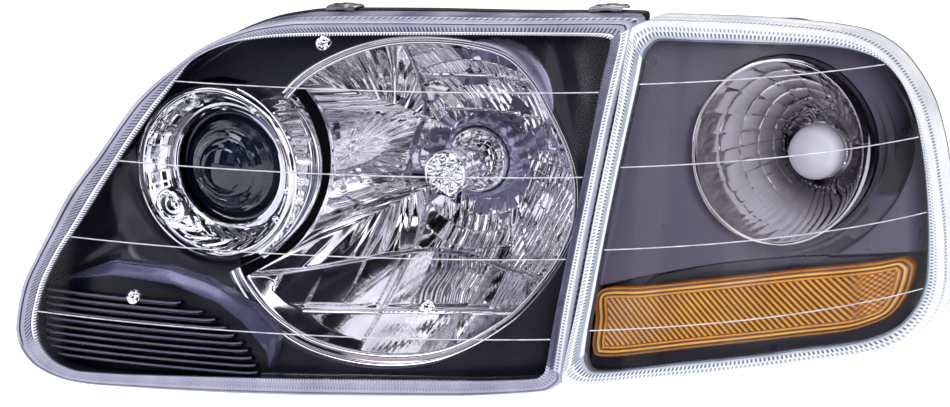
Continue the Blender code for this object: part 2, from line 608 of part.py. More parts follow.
def tray(extra):
    return lambda x, z: lens_y(x, z, tray_off(x, z) + extra)


def hole_edge(grow):
    out = []
    for a in CA:
        x0, z0 = CC
        best = 0.0
        ring = [(TURN[0] + (r + grow) * math.cos(b), TURN[1] + (r + grow) * math.sin(b)) for b, r in zip(BA, BR)]
        best = reach(ring, (x0, z0), a)
        out.append(best)
    return out


HE = hole_edge(3.8)
MIDDLE = [a + 0.3 * (b - a) for a, b in zip(HE, grown(CW, -3.0))]


def lip_y(x, z):
    return lens_y(x, z, 5.0 + 3.2 * steep(x))


body("corner_bezel",
     [corner(HE, tray(0.0)), corner(MIDDLE, tray(0.0)), corner(grown(CW, -3.4), tray(0.0)), corner(grown(CW, -2.8), lip_y),
      corner(grown(CW, -1.6), lip_y), corner(grown(CW, -1.6), tray(2.2)), corner(MIDDLE, tray(2.2)), corner(HE, tray(2.2))])

# amber reflex reflector along the bottom of the corner lamp
cols = [(73.0, -59.2, -89.0), (90.0, -57.5, -90.8), (110.0, -55.5, -90.0), (130.0, -55.0, -90.0), (154.0, -54.6, -90.0),
        (170.0, -55.5, -90.0), (186.0, -57.2, -88.0), (195.0, -59.0, -80.0)]
points, faces = [], []
for x, za, zb in cols:
    for z, off in ((za, 15.0), (za * 0.5 + zb * 0.5, 14.0), (zb, 15.0), (zb, 22.5), (za * 0.5 + zb * 0.5, 22.5), (za, 22.5)):
        points.append((x, lens_y(x, z, off), z))
for k in range(len(cols) - 1):
    for i in range(6):
        j = (i + 1) % 6
        faces.append((6 * k + i, 6 * k + j, 6 * k + 6 + j, 6 * k + 6 + i))
faces += [(5, 4, 3, 2, 1, 0), tuple(6 * (len(cols) - 1) + i for i in range(6))]
mesh("amber_reflex", points, faces)

# turn signal bulb with its white cap, on a twist socket
turned("turn_bulb", TURN, [(0, 170.0), (5.0, 171.5), (8.0, 176.0), (8.0, 186.0), (6.0, 192.0), (6.0, 195.6), (0, 195.6)], 18)
turned("bulb_cap", TURN, [(0, 162.0), (9.0, 163.0), (15.0, 166.5), (16.0, 171.0), (16.0, 178.0), (14.5, 178.0), (14.5, 171.5), (13.5, 168.0), (8.5, 165.2), (0, 164.4)], 24)
turned("turn_socket", TURN,
       [(0, 196.0), (15.6, 196.0), (15.6, 205.4), (15.6, 207.6), (21.5, 207.6, 1.6), (21.5, 213.0, 1.6), (13.0, 214.0), (12.0, 224.0), (0, 224.0)], 32, lobes=4)
turned("socket_seal", TURN, [(16.2, 205.5), (20.0, 205.5), (20.0, 207.2), (16.2, 207.2)], 24)
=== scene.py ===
"""The looks of a car headlight assembly: a headlamp with a chrome reflector, a
projector and a louvred bezel, and a wrapping corner lamp with an amber reflex.

Lengths in the numbers are millimetres, counted from the middle of the
headlamp's lens: +X outboard, +Y back into the vehicle, +Z up. O is where the
row frame's origin lies in those numbers.
"""

import math

import bpy
import numpy as np
from mathutils import Matrix, Vector

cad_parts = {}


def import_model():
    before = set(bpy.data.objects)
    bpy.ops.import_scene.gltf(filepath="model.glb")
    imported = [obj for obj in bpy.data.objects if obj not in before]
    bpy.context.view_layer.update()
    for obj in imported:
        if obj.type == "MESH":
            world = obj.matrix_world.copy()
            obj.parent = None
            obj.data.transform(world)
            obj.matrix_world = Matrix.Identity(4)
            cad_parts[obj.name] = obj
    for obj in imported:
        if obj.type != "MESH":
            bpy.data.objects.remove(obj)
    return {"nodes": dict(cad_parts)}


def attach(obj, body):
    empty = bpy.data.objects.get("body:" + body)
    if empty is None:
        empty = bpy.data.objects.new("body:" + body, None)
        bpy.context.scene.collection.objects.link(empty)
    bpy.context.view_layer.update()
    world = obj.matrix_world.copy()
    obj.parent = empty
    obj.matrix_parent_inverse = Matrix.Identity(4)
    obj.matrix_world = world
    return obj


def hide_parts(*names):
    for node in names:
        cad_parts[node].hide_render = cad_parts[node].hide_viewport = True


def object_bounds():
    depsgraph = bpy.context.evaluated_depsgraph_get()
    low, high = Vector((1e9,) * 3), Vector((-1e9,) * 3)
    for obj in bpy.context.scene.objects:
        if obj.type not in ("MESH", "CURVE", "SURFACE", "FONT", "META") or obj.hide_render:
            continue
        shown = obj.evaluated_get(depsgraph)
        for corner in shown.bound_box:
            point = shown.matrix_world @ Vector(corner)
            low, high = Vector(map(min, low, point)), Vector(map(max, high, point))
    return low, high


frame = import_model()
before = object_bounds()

O = np.array([-75.0, 175.0, 73.5])
TAU = 2 * math.pi

# ------------------------------------------------------------ lens surface
R1, R2, SB, XC = 600.0, 350.0, math.radians(26.0), -232.0
XB = XC + R1 * math.sin(SB)
YB = R1 * (1 - math.cos(SB))
XC2 = XB - R2 * math.sin(SB)
YC2 = YB + R2 * math.cos(SB)


def plan(x):
    x = np.asarray(x, float)
    near = R1 - np.sqrt(np.maximum(R1 * R1 - (np.minimum(x, XB + 1) - XC) ** 2, 1e-9))
    t = (x - XC2) / R2
    lead = np.maximum(t - 0.97, 0.0)
    tc = np.clip(t, -0.99, 0.97)
    far = YC2 - R2 * np.sqrt(1 - tc * tc) + lead * R2 * 0.97 / math.sqrt(1 - 0.97**2)
    return np.where(x <= XB, near, far)


Y00 = float(plan(0.0))


def lens_y(x, z, off=0.0):
    z = np.asarray(z, float)
    return plan(x) - Y00 + z * math.tan(math.radians(15)) + 0.00058 * z * z + off


def steep(x):
    slope = plan(np.asarray(x, float) + 0.5) - plan(np.asarray(x, float) - 0.5)
    return np.minimum(np.sqrt(1 + slope * slope), 2.6)


def sstep(t):
    t = np.clip(t, 0.0, 1.0)
    return t * t * (3 - 2 * t)


def bump(t):
    """1 at t 0, falling smoothly to 0 at |t| 1."""
    return 1 - sstep(np.abs(t))


def tri(t):
    return np.abs((t % 1.0) * 2 - 1)


# ---------------------------------------------------------------- outlines
HEAD = [(-274.0, -92.0), (-274.0, -80.0), (-271.0, -63.0), (-264.0, -47.0), (-256.0, -30.0), (-247.0, -11.0),
        (-238.0, 3.0), (-229.0, 15.0), (-216.0, 36.0), (-207.0, 49.0), (-196.0, 60.5), (-185.0, 70.0), (-173.0, 79.5),
        (-160.0, 87.0), (-142.0, 94.5), (-118.0, 99.5), (-54.0, 102.0), (0.0, 102.0), (53.0, 102.0), (64.0, 101.0),
        (60.5, 42.0), (56.7, -6.0), (52.3, -55.0), (48.0, -103.0), (43.0, -107.0), (11.0, -110.0), (-32.0, -111.0),
        (-97.0, -113.0), (-144.0, -114.5), (-193.0, -116.0), (-223.0, -117.0), (-239.0, -116.0), (-252.0, -113.0),
        (-262.0, -108.5), (-270.0, -101.0)]
HEAD_WINDOW = [(-259.5, -85.7), (-259.4, -78.0), (-255.8, -61.7), (-246.5, -41.3), (-234.7, -22.7), (-220.1, 2.9),
               (-207.2, 25.7), (-193.9, 46.6), (-181.8, 64.4), (-175.6, 73.3), (-166.5, 79.5), (-152.4, 85.3),
               (-133.3, 89.0), (-110.7, 91.1), (-53.2, 93.5), (1.6, 94.3), (52.0, 93.4), (58.9, 92.0), (58.0, 69.0), (55.7, 24.3),
               (51.9, -20.8), (47.6, -63.4), (44.2, -97.0), (41.0, -99.9), (21.5, -101.2), (-32.4, -101.7), (-89.0, -103.3),
               (-149.0, -105.8), (-206.8, -109.1), (-232.6, -109.5), (-246.8, -105.1), (-255.8, -97.2)]
CORNER = [(70.5, 98.0), (75.5, 101.0), (102.0, 99.5), (130.0, 96.0), (157.0, 90.0), (170.0, 85.0), (179.0, 78.5),
          (187.0, 69.0), (194.0, 56.0), (200.7, 38.5), (206.2, 13.7), (210.2, -15.2), (213.3, -46.7), (214.3, -74.6),
          (213.2, -85.8), (209.9, -96.0), (203.9, -103.7), (194.9, -105.9), (174.9, -104.6), (141.8, -104.0),
          (94.4, -104.3), (60.5, -104.7), (54.6, -102.5), (59.3, -58.0), (64.0, -1.0), (68.2, 52.0)]
CORNER_WINDOW = [(82.6, 89.6), (103.4, 88.4), (131.3, 85.3), (157.9, 81.2), (171.6, 76.9), (183.4, 69.0),
                 (192.2, 55.4), (198.9, 35.0), (203.3, 11.3), (206.9, -19.6), (208.8, -50.3), (208.8, -71.2),
                 (206.1, -83.7), (199.7, -92.8), (188.9, -95.9), (163.0, -94.3), (137.4, -94.4), (110.3, -94.6),
                 (74.6, -96.8), (68.2, -95.4), (65.3, -89.0), (65.3, -73.7), (66.9, -53.7), (69.8, -16.0), (71.9, 9.7),
                 (75.0, 45.0), (76.9, 66.0), (78.3, 84.0)]
OPENING = [(-47.3, 88.3), (-20.5, 85.6), (-2.5, 79.4), (12.5, 66.0), (23.0, 50.9), (36.5, 26.8), (43.5, 6.9),
           (44.8, -19.4), (38.3, -40.5), (27.2, -58.9), (16.9, -71.7), (-4.1, -87.5), (-25.4, -97.3), (-52.0, -101.0),
           (-78.6, -99.0), (-102.7, -92.2), (-122.8, -81.0), (-136.6, -69.0), (-147.8, -54.6), (-153.4, -41.0),
           (-155.3, -23.1), (-154.6, 3.6), (-147.4, 25.9), (-135.4, 46.5), (-119.8, 64.9), (-97.9, 78.3), (-75.0, 85.9)]
BOWL = [(178.7, 15.0), (176.5, 29.0), (171.9, 42.4), (165.4, 54.3), (157.2, 63.8), (147.9, 70.1), (138.0, 72.9),
        (128.4, 72.1), (119.6, 67.7), (112.4, 60.1), (107.3, 49.9), (104.6, 37.7), (104.6, 24.5), (107.2, 11.0),
        (112.3, -1.8), (119.4, -13.1), (128.1, -22.3), (137.6, -28.6), (147.3, -31.7), (156.6, -31.4), (164.8, -27.7),
        (171.5, -20.7), (176.2, -10.8), (178.6, 1.4)]
REFLEX = [(63.3, -53.9), (85.0, -52.0), (112.3, -50.6), (156.8, -50.0), (189.2, -52.9), (198.0, -53.6), (201.9, -59.1),
          (199.7, -77.4), (194.7, -86.6), (182.8, -90.6), (159.1, -89.6), (114.7, -89.6), (71.8, -92.0), (64.3, -90.4),
          (62.4, -84.5), (63.0, -70.1)]
LOUVRE = [(-268.5, -72.6), (-251.6, -66.3), (-217.1, -64.0), (-186.9, -65.5), (-167.2, -69.2), (-147.5, -78.9),
          (-131.1, -91.3), (-123.0, -104.2)]
FIN = [(-258.7, -62.6), (-218.8, -56.2), (-179.0, -58.0), (-149.6, -66.9), (-133.3, -77.4), (-118.8, -92.3),
       (-115.6, -103.0), (-112.9, -91.9), (-112.3, -82.0), (-127.9, -68.3), (-156.9, -54.6), (-186.4, -48.1),
       (-219.7, -47.5)]
HC, CC, MAIN, PROJ, TURN = (-90.0, -4.0), (135.0, -5.0), (-44.0, 3.5), (-164.5, 6.0), (147.0, 11.0)
PIVOT, BALL_Y, WALL_Y, REAR = (-110.0, 60.0), 100.0, 150.0, 205.0
VERT, HORI = (-110.0, -70.0), (20.0, 60.0)


def moved(outline, pick, dx):
    return [(x + dx, z) if pick(x, z) else (x, z) for x, z in outline]


HEAD_FRONT = moved(HEAD, lambda x, z: x > 40, 4.1)
CORNER_FRONT = moved(CORNER, lambda x, z: x < 72 and z < 99, -1.4)


def smooth(outline, per=8):
    """A rounded outline through the points, with no overshoot at the corners."""
    p = np.asarray(outline, float)
    last, after = np.roll(p, 1, 0), np.roll(p, -1, 0)
    lp, ln = np.linalg.norm(p - last, axis=1), np.linalg.norm(after - p, axis=1)
    d = (p - last) / lp[:, None] * ln[:, None] + (after - p) / ln[:, None] * lp[:, None]
    d /= np.maximum(np.linalg.norm(d, axis=1), 1e-9)[:, None]
    m = d * np.minimum(lp, ln)[:, None]
    out = []
    for i in range(len(p)):
        j = (i + 1) % len(p)
        for k in range(per):
            t = k / per
            out.append((2 * t**3 - 3 * t**2 + 1) * p[i] + (t**3 - 2 * t**2 + t) * m[i]
                       + (-2 * t**3 + 3 * t**2) * p[j] + (t**3 - t**2) * m[j])
    return np.array(out)


def resample(p, n):
    q = np.vstack([p, p[:1]])
    s = np.concatenate([[0], np.cumsum(np.linalg.norm(np.diff(q, axis=0), axis=1))])
    u = np.linspace(0, s[-1], n, endpoint=False)
    return np.stack([np.interp(u, s, q[:, 0]), np.interp(u, s, q[:, 1])], 1), s[-1]


def reach(outline, c, ang):
    p = np.asarray(outline, float)
    e = np.roll(p, -1, 0) - p
    w = p - np.array(c)
    dx, dz = np.cos(ang)[:, None], np.sin(ang)[:, None]
    det = -dx * e[:, 1] + dz * e[:, 0]
    det = np.where(np.abs(det) < 1e-12, 1e-12, det)
    r = (-w[:, 0] * e[:, 1] + w[:, 1] * e[:, 0]) / det
    s = (dx * w[:, 1] - dz * w[:, 0]) / det
    return np.where((s >= -1e-9) & (s <= 1 + 1e-9), r, 0.0).max(1)


def circle(c, mid, radius, ang, far=True):
    dx, dz = np.cos(ang), np.sin(ang)
    wx, wz = mid[0] - c[0], mid[1] - c[1]
    along = wx * dx + wz * dz
    gap = wx * wx + wz * wz - along * along
    ok = (gap < radius * radius) & (along > 0)
    half = np.sqrt(np.maximum(radius * radius - gap, 0))
    return np.where(ok, along + half, 0.0) if far else np.where(ok, along - half, 1e9)


S_HEAD, S_HEADW = smooth(HEAD_FRONT), smooth(HEAD_WINDOW)
S_HEADB = smooth(HEAD)
S_CORNER, S_CORNERW = smooth(CORNER_FRONT), smooth(CORNER_WINDOW)
S_CORNERB = smooth(CORNER)
S_OPEN, S_BOWL, S_REFLEX = smooth(OPENING), smooth(BOWL), smooth(REFLEX)


def round_angles(outline, c, n):
    """Angles about c whose points are evenly spaced along the outline."""
    p, length = resample(outline, n)
    a = np.unwrap(np.arctan2(p[:, 1] - c[1], p[:, 0] - c[0]))
    return a, length


def ring(c, ang, r, off=0.0):
    x, z = c[0] + r * np.cos(ang), c[1] + r * np.sin(ang)
    return np.stack([x, lens_y(x, z, off), z], 1)


def ring_y(c, ang, r, y):
    x, z = c[0] + r * np.cos(ang), c[1] + r * np.sin(ang)
    return np.stack([x, np.broadcast_to(np.asarray(y, float), x.shape), z], 1)


# ------------------------------------------------------------------ meshes
def facing_out(v, faces):
    total = 0.0
    for size in (3, 4):
        f = [t for t in faces if len(t) == size]
        if f:
            f = np.array(f)
            total += np.einsum("ij,ij->i", v[f[:, 0]], np.cross(v[f[:, 1]], v[f[:, 2]])).sum()
            if size == 4:
                total += np.einsum("ij,ij->i", v[f[:, 0]], np.cross(v[f[:, 2]], v[f[:, 3]])).sum()
    return total


def make(name, v, faces, mat, body, replaces=(), sharp=32, painted_light=None):
    v = np.asarray(v, float)
    w = (v - O) / 1000.0
    faces = [tuple(int(i) for i in f) for f in faces]
    data = bpy.data.meshes.new(name)
    data.from_pydata(w.tolist(), [], faces)
    if facing_out(w - w.mean(0), faces) < 0:
        data.flip_normals()
    data.shade_smooth()
    data.set_sharp_from_angle(angle=math.radians(sharp))
    # Per-vertex painted shade and painted highlights, which the material reads as base colour.
    if painted_light is not None:
        layer = data.attributes.new("painted_light", "FLOAT", "POINT")
        layer.data.foreach_set("value", np.asarray(painted_light, np.float32))
    data.update()
    obj = bpy.data.objects.new(name, data)
    bpy.context.scene.collection.objects.link(obj)
    data.materials.append(mat)
    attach(obj, body)
    if replaces:
        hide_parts(*([replaces] if isinstance(replaces, str) else replaces))
    return obj


def loops(rings, first=None, last=None, wrap=False, caps=False, base=0):
    """Vertices and faces of rings joined in order."""
    n, m = len(rings[0]), len(rings)
    v = np.vstack(rings)
    i = np.arange(n)
    j = (i + 1) % n
    f = []
    for a, b in [(k, k + 1) for k in range(m - 1)] + ([(m - 1, 0)] if wrap else []):
        f.append(np.stack([a * n + i, a * n + j, b * n + j, b * n + i], 1))
    f = np.vstack(f).tolist()
    if first is not None:
        v = np.vstack([v, [first]])
        f += [(len(v) - 1, int(b), int(a)) for a, b in zip(i, j)]
    if last is not None:
        v = np.vstack([v, [last]])
        s = (m - 1) * n
        f += [(len(v) - 1, s + int(a), s + int(b)) for a, b in zip(i, j)]
    if caps:
        f.append(tuple(range(n - 1, -1, -1)))
        f.append(tuple((m - 1) * n + k for k in range(n)))
    return v, f


def joined(parts):
    v, f, base = [], [], 0
    for pv, pf in parts:
        v.append(np.asarray(pv, float))
        f += [tuple(int(i) + base for i in t) for t in pf]
        base += len(pv)
    return np.vstack(v), f


def turned(mid, profile, n=96, lobes=0, swell=None):
    """A body turned about an axis along Y. profile is (radius, y) or (radius, y, lobe)."""
    a = TAU * (np.arange(n) + 0.5) / n
    rows = list(profile)
    first = last = None
    if rows[0][0] == 0:
        first, rows = (mid[0], rows[0][1], mid[1]), rows[1:]
    if rows[-1][0] == 0:
        last, rows = (mid[0], rows[-1][1], mid[1]), rows[:-1]
    rs = []
    for row in rows:
        r = row[0] + (row[2] if len(row) > 2 else 0.0) * np.cos(lobes * a)
        rs.append(ring_y(mid, a, r, row[1]))
    return loops(rs, first, last, wrap=first is None and last is None)


def tube(points, radius, n=10, closed=False):
    """A round tube along points."""
    p = np.asarray(points, float)
    t = np.gradient(p, axis=0) if not closed else np.roll(p, -1, 0) - np.roll(p, 1, 0)
    t /= np.linalg.norm(t, axis=1)[:, None]
    up = np.array([0.0, -1.0, 0.0])
    side = np.cross(t, up)
    side /= np.maximum(np.linalg.norm(side, axis=1), 1e-9)[:, None]
    nor = np.cross(side, t)
    a = TAU * np.arange(n) / n
    rad = np.broadcast_to(np.asarray(radius, float), (len(p),))
    rings = [q + rad[k] * (np.cos(a)[:, None] * side[k] + np.sin(a)[:, None] * nor[k]) for k, q in enumerate(p)]
    return loops(rings, wrap=closed, caps=not closed)


# --------------------------------------------------------------- materials
def lin(*c):
    return tuple(x / 12.92 if x <= 0.04045 else ((x + 0.055) / 1.055) ** 2.4 for x in c) + (1.0,)


class Look:
    """A node material: base colour from noise or an attribute, roughness and bump from noise."""

    def __init__(self, name):
        self.m = bpy.data.materials.new(name)
        self.m.use_nodes = True
        self.t = self.m.node_tree
        self.t.nodes.clear()
        self.out = self.t.nodes.new("ShaderNodeOutputMaterial")

    def node(self, kind, **values):
        n = self.t.nodes.new("ShaderNode" + kind)
        for key, value in values.items():
            setattr(n, key, value)
        return n

    def link(self, a, b):
        self.t.links.new(a, b)

    def noise(self, scale, detail=3.0, rough=0.5, stretch=None):
        co = self.node("TexCoord")
        n = self.node("TexNoise")
        n.inputs["Scale"].default_value = scale
        n.inputs["Detail"].default_value = detail
        n.inputs["Roughness"].default_value = rough
        if stretch:
            mp = self.node("Mapping")
            mp.inputs["Scale"].default_value = stretch
            self.link(co.outputs["Object"], mp.inputs["Vector"])
            self.link(mp.outputs["Vector"], n.inputs["Vector"])
        else:
            self.link(co.outputs["Object"], n.inputs["Vector"])
        return n.outputs["Fac"]

    def ramp(self, fac, stops, mode="LINEAR"):
        r = self.node("ValToRGB")
        r.color_ramp.interpolation = mode
        e = r.color_ramp.elements
        while len(e) < len(stops):
            e.new(0.5)
        for k, (pos, colour) in enumerate(stops):
            e[k].position = pos
            e[k].color = colour
        self.link(fac, r.inputs["Fac"])
        return r.outputs["Color"]

    def span(self, fac, lo, hi, a=0.3, b=0.7):
        r = self.node("MapRange")
        for key, value in (("From Min", a), ("From Max", b), ("To Min", lo), ("To Max", hi)):
            r.inputs[key].default_value = value
        self.link(fac, r.inputs["Value"])
        return r.outputs["Result"]

    def bump(self, fac, depth, strength=1.0):
        b = self.node("Bump")
        b.inputs["Strength"].default_value = strength
        b.inputs["Distance"].default_value = depth
        self.link(fac, b.inputs["Height"])
        return b.outputs["Normal"]


def plastic(name, stops, rough=(0.3, 0.45), grain=900.0, depth=0.00004, cloud=45.0, metal=0.0, ior=1.49, coat=0.0,
            attribute=False, stretch=None, coat_rough=0.05, spec=None, wear=None):
    k = Look(name)
    p = k.node("BsdfPrincipled")
    p.inputs["Metallic"].default_value = metal
    p.inputs["IOR"].default_value = ior
    p.inputs["Coat Weight"].default_value = coat
    p.inputs["Coat Roughness"].default_value = coat_rough
    if spec is not None:
        p.inputs["Specular IOR Level"].default_value = spec
    wide = k.noise(cloud, 4.0, 0.55, stretch)
    fine = k.noise(grain, 2.0, 0.6)
    if attribute:
        # Base colour follows the per-vertex painted shade and painted highlights.
        at = k.node("Attribute", attribute_name="painted_light")
        fac = at.outputs["Fac"]
        mix = k.node("Math", operation="MULTIPLY_ADD")
        k.link(k.span(wide, -0.06, 0.06, 0.3, 0.7), mix.inputs[0])
        mix.inputs[1].default_value = 1.0
        k.link(fac, mix.inputs[2])
        colour = k.ramp(mix.outputs[0], stops)
    else:
        colour = k.ramp(wide, stops)
    if wear is not None:
        # faint scuffs: thin noise bands lighten the surface
        scuff = k.ramp(k.noise(cloud * 4.0, 6.0, 0.7, (1.0, 1.0, 4.0)), [(0.0, (0, 0, 0, 1)), (0.62, (0, 0, 0, 1)), (0.72, (1, 1, 1, 1))])
        m = k.node("Mix", data_type="RGBA")
        k.link(scuff, m.inputs[0])
        k.link(colour, m.inputs[6])
        m.inputs[7].default_value = wear
        colour = m.outputs[2]
    k.link(colour, p.inputs["Base Color"])
    k.link(k.span(k.noise(cloud * 2.5, 3.0), *rough), p.inputs["Roughness"])
    k.link(k.bump(fine, depth), p.inputs["Normal"])
    k.link(p.outputs["BSDF"], k.out.inputs["Surface"])
    return k.m


def clear(name, tint, rough=0.03, ior=1.45, grain=60.0, depth=0.00004, boost=1.0):
    """Clear moulded plastic or glass in a thin sheet: seen through, with gloss at its faces."""
    k = Look(name)
    see = k.node("BsdfTransparent")
    depth = depth * 0.1
    k.link(k.ramp(k.noise(30.0, 3.0), [(0.3, tint[0]), (0.7, tint[1])]), see.inputs["Color"])
    gloss = k.node("BsdfGlossy")
    gloss.inputs["Color"].default_value = (boost, boost, boost, 1.0)
    k.link(k.span(k.noise(grain, 2.0), rough, rough * 2.2), gloss.inputs["Roughness"])
    normal = k.bump(k.noise(grain, 2.0), depth)
    k.link(normal, gloss.inputs["Normal"])
    fr = k.node("Fresnel")
    fr.inputs["IOR"].default_value = ior
    side = k.node("NewGeometry")
    front = k.node("Math", operation="SUBTRACT")
    front.inputs[0].default_value = 1.0
    k.link(side.outputs["Backfacing"], front.inputs[1])
    share = k.node("Math", operation="MULTIPLY")
    k.link(fr.outputs["Fac"], share.inputs[0])
    k.link(front.outputs[0], share.inputs[1])
    mix = k.node("MixShader")
    k.link(share.outputs[0], mix.inputs["Fac"])
    k.link(see.outputs["BSDF"], mix.inputs[1])
    k.link(gloss.outputs["BSDF"], mix.inputs[2])
    k.link(mix.outputs["Shader"], k.out.inputs["Surface"])
    return k.m


M = {
    "clear": clear("clear_lens_look", (lin(0.992, 0.992, 1.0), lin(0.98, 0.98, 0.99)), ior=1.28, boost=0.6),
    "bulb": clear("bulb_glass_look", (lin(0.9, 0.92, 0.95), lin(0.82, 0.85, 0.9)), ior=1.5),
    "rib": plastic("rib_look", [(0.3, lin(0.74, 0.74, 0.80)), (0.7, lin(0.98, 0.98, 1.0))], rough=(0.15, 0.3), grain=500, cloud=120.0),
    # The two lens border looks spread painted shade and painted highlights from dark indigo to near white.
    "band": plastic("head_band_look", [(0.0, lin(0.05, 0.05, 0.10)), (0.25, lin(0.20, 0.20, 0.30)), (0.5, lin(0.47, 0.47, 0.57)),
                                       (0.75, lin(0.73, 0.73, 0.81)), (1.0, lin(0.97, 0.97, 0.99))],
                    rough=(0.18, 0.32), grain=700, depth=0.00002, attribute=True, coat=0.3),
    "band2": plastic("corner_band_look", [(0.0, lin(0.07, 0.07, 0.11)), (0.3, lin(0.33, 0.35, 0.42)), (0.55, lin(0.60, 0.63, 0.72)),
                                          (0.75, lin(0.83, 0.85, 0.89)), (1.0, lin(0.97, 0.97, 0.97))],
                     rough=(0.18, 0.32), grain=700, depth=0.00002, attribute=True, coat=0.3),
    "bezel": plastic("dark_bezel_look", [(0.3, lin(0.075, 0.072, 0.125)), (0.7, lin(0.115, 0.11, 0.17))], rough=(0.26, 0.36), grain=900,
                     depth=0.000003, cloud=14.0, coat=0.05, spec=0.6),
    # The dark end of this ramp is painted shadow in the pocket round the corner bowl.
    "slate": plastic("slate_bezel_look", [(0.0, lin(0.035, 0.033, 0.06)), (0.35, lin(0.17, 0.16, 0.20)), (0.75, lin(0.30, 0.285, 0.355)),
                                          (1.0, lin(0.37, 0.355, 0.43))], rough=(0.26, 0.36), grain=900, depth=0.000003, cloud=12.0, spec=0.7,
                     attribute=True),
    "chrome": plastic("chrome_look", [(0.3, (0.86, 0.86, 0.9, 1)), (0.7, (0.93, 0.93, 0.95, 1))], rough=(0.03, 0.07), grain=500,
                      depth=0.000004, metal=1.0),
    "mirror": plastic("mirror_look", [(0.3, (0.80, 0.79, 0.83, 1)), (0.7, (0.93, 0.92, 0.94, 1))], rough=(0.035, 0.08), grain=260,
                      depth=0.00002, cloud=30.0, metal=1.0),
    "bowl": plastic("mirror_bowl_look", [(0.3, (0.50, 0.47, 0.49, 1)), (0.7, (0.68, 0.65, 0.68, 1))], rough=(0.05, 0.10), grain=260,
                    depth=0.00001, cloud=30.0, metal=1.0),
    "satin": plastic("satin_trim_look", [(0.3, lin(0.60, 0.59, 0.70)), (0.7, lin(0.74, 0.73, 0.82))], rough=(0.22, 0.35), grain=500,
                     depth=0.000008, metal=0.8, cloud=25.0),
    "fin": plastic("fin_look", [(0.3, lin(0.22, 0.22, 0.32)), (0.7, lin(0.40, 0.40, 0.52))], rough=(0.2, 0.3), grain=900, depth=0.000004,
                   cloud=22.0, metal=0.35, coat=0.3),
    # The light end of this ramp is the painted highlight along the ribs' top edges.
    "louvre": plastic("louvre_look", [(0.0, lin(0.02, 0.02, 0.035)), (0.5, lin(0.07, 0.07, 0.11)), (1.0, lin(0.52, 0.51, 0.62))], rough=(0.26, 0.36), grain=1400,
                      depth=0.00001, attribute=True),
    # Opaque dark navy stands in for the unlit inside seen through the clear lens: painted shade.
    "glass": plastic("projector_glass_look", [(0.3, lin(0.02, 0.05, 0.11)), (0.7, lin(0.05, 0.09, 0.18))], rough=(0.015, 0.03), grain=90,
                     depth=0.00002, coat=1.0, coat_rough=0.02, cloud=20.0),
    # Amber ramp spread by painted shade and painted highlights on the reflex's frame and prisms.
    "amber": plastic("amber_look", [(0.0, lin(0.20, 0.10, 0.01)), (0.35, lin(0.46, 0.25, 0.015)), (0.6, lin(0.72, 0.43, 0.03)),
                                    (0.8, lin(0.90, 0.60, 0.06)), (1.0, lin(1.0, 0.80, 0.30))],
                     rough=(0.12, 0.22), grain=500, depth=0.00001, attribute=True, coat=0.6),
    "opal": plastic("opal_look", [(0.3, lin(0.86, 0.86, 0.90)), (0.7, lin(0.95, 0.95, 0.97))], rough=(0.3, 0.4), grain=400, depth=0.00001),
    "black": plastic("black_housing_look", [(0.3, lin(0.075, 0.075, 0.082)), (0.7, lin(0.12, 0.12, 0.128))], rough=(0.42, 0.6), grain=2200,
                     depth=0.00008, wear=lin(0.20, 0.20, 0.21)),
    "grey": plastic("grey_plastic_look", [(0.3, lin(0.33, 0.34, 0.36)), (0.7, lin(0.42, 0.43, 0.45))], rough=(0.4, 0.55), grain=2000,
                    depth=0.00006, wear=lin(0.55, 0.55, 0.56)),
    "nylon": plastic("white_nylon_look", [(0.3, lin(0.80, 0.79, 0.74)), (0.7, lin(0.90, 0.89, 0.85))], rough=(0.38, 0.5), grain=1500,
                     depth=0.00004, wear=lin(0.68, 0.66, 0.60)),
    "steel": plastic("steel_look", [(0.3, (0.42, 0.42, 0.43, 1)), (0.7, (0.60, 0.60, 0.61, 1))], rough=(0.22, 0.42), grain=1200, depth=0.00002,
                     metal=1.0, wear=(0.75, 0.74, 0.72, 1)),
    "rubber": plastic("seal_rubber_look", [(0.3, lin(0.07, 0.07, 0.07)), (0.7, lin(0.13, 0.13, 0.13))], rough=(0.65, 0.85), grain=1800,
                      depth=0.0001),
    "orange": plastic("amber_bulb_look", [(0.3, lin(0.75, 0.38, 0.05)), (0.7, lin(0.9, 0.52, 0.1))], rough=(0.08, 0.15), grain=300,
                      depth=0.00001, coat=0.8),
}

# CAD solids that stay get a node look of their own
KEPT = {
    "headlamp_housing": "black", "corner_housing": "black", "headlamp_seal": "rubber", "corner_seal": "rubber", "socket_seal": "rubber",
    "main_bulb": "bulb", "aux_bulb": "bulb", "turn_bulb": "orange", "bulb_base": "black", "bulb_retaining_ring": "black",
    "pivot_stud": "steel", "vertical_adjuster_stud": "steel", "horizontal_adjuster_stud": "steel", "vertical_adjuster_knob": "nylon",
    "horizontal_adjuster_knob": "nylon", "pivot_socket": "nylon", "vertical_adjuster_socket": "nylon",
    "horizontal_adjuster_socket": "nylon", "main_service_cap": "black", "aux_service_cap": "black", "vent_cap_low": "rubber",
    "vent_cap_side": "rubber", "corner_lamp_bracket": "steel", "corner_guide_pin_upper": "nylon", "corner_guide_pin_lower": "nylon",
    "turn_socket": "grey", "aux_bulb_holder": "grey", "projector_bowl": "mirror", "projector_barrel": "black",
    "lens_clip_1": "steel", "lens_clip_2": "steel", "lens_clip_3": "steel", "lens_clip_4": "steel",
}
for name, obj in frame["nodes"].items():
    look = M[KEPT.get(name, "black")]
    if obj.material_slots:
        for place in obj.material_slots:
            place.material = look
    else:
        obj.data.materials.append(look)

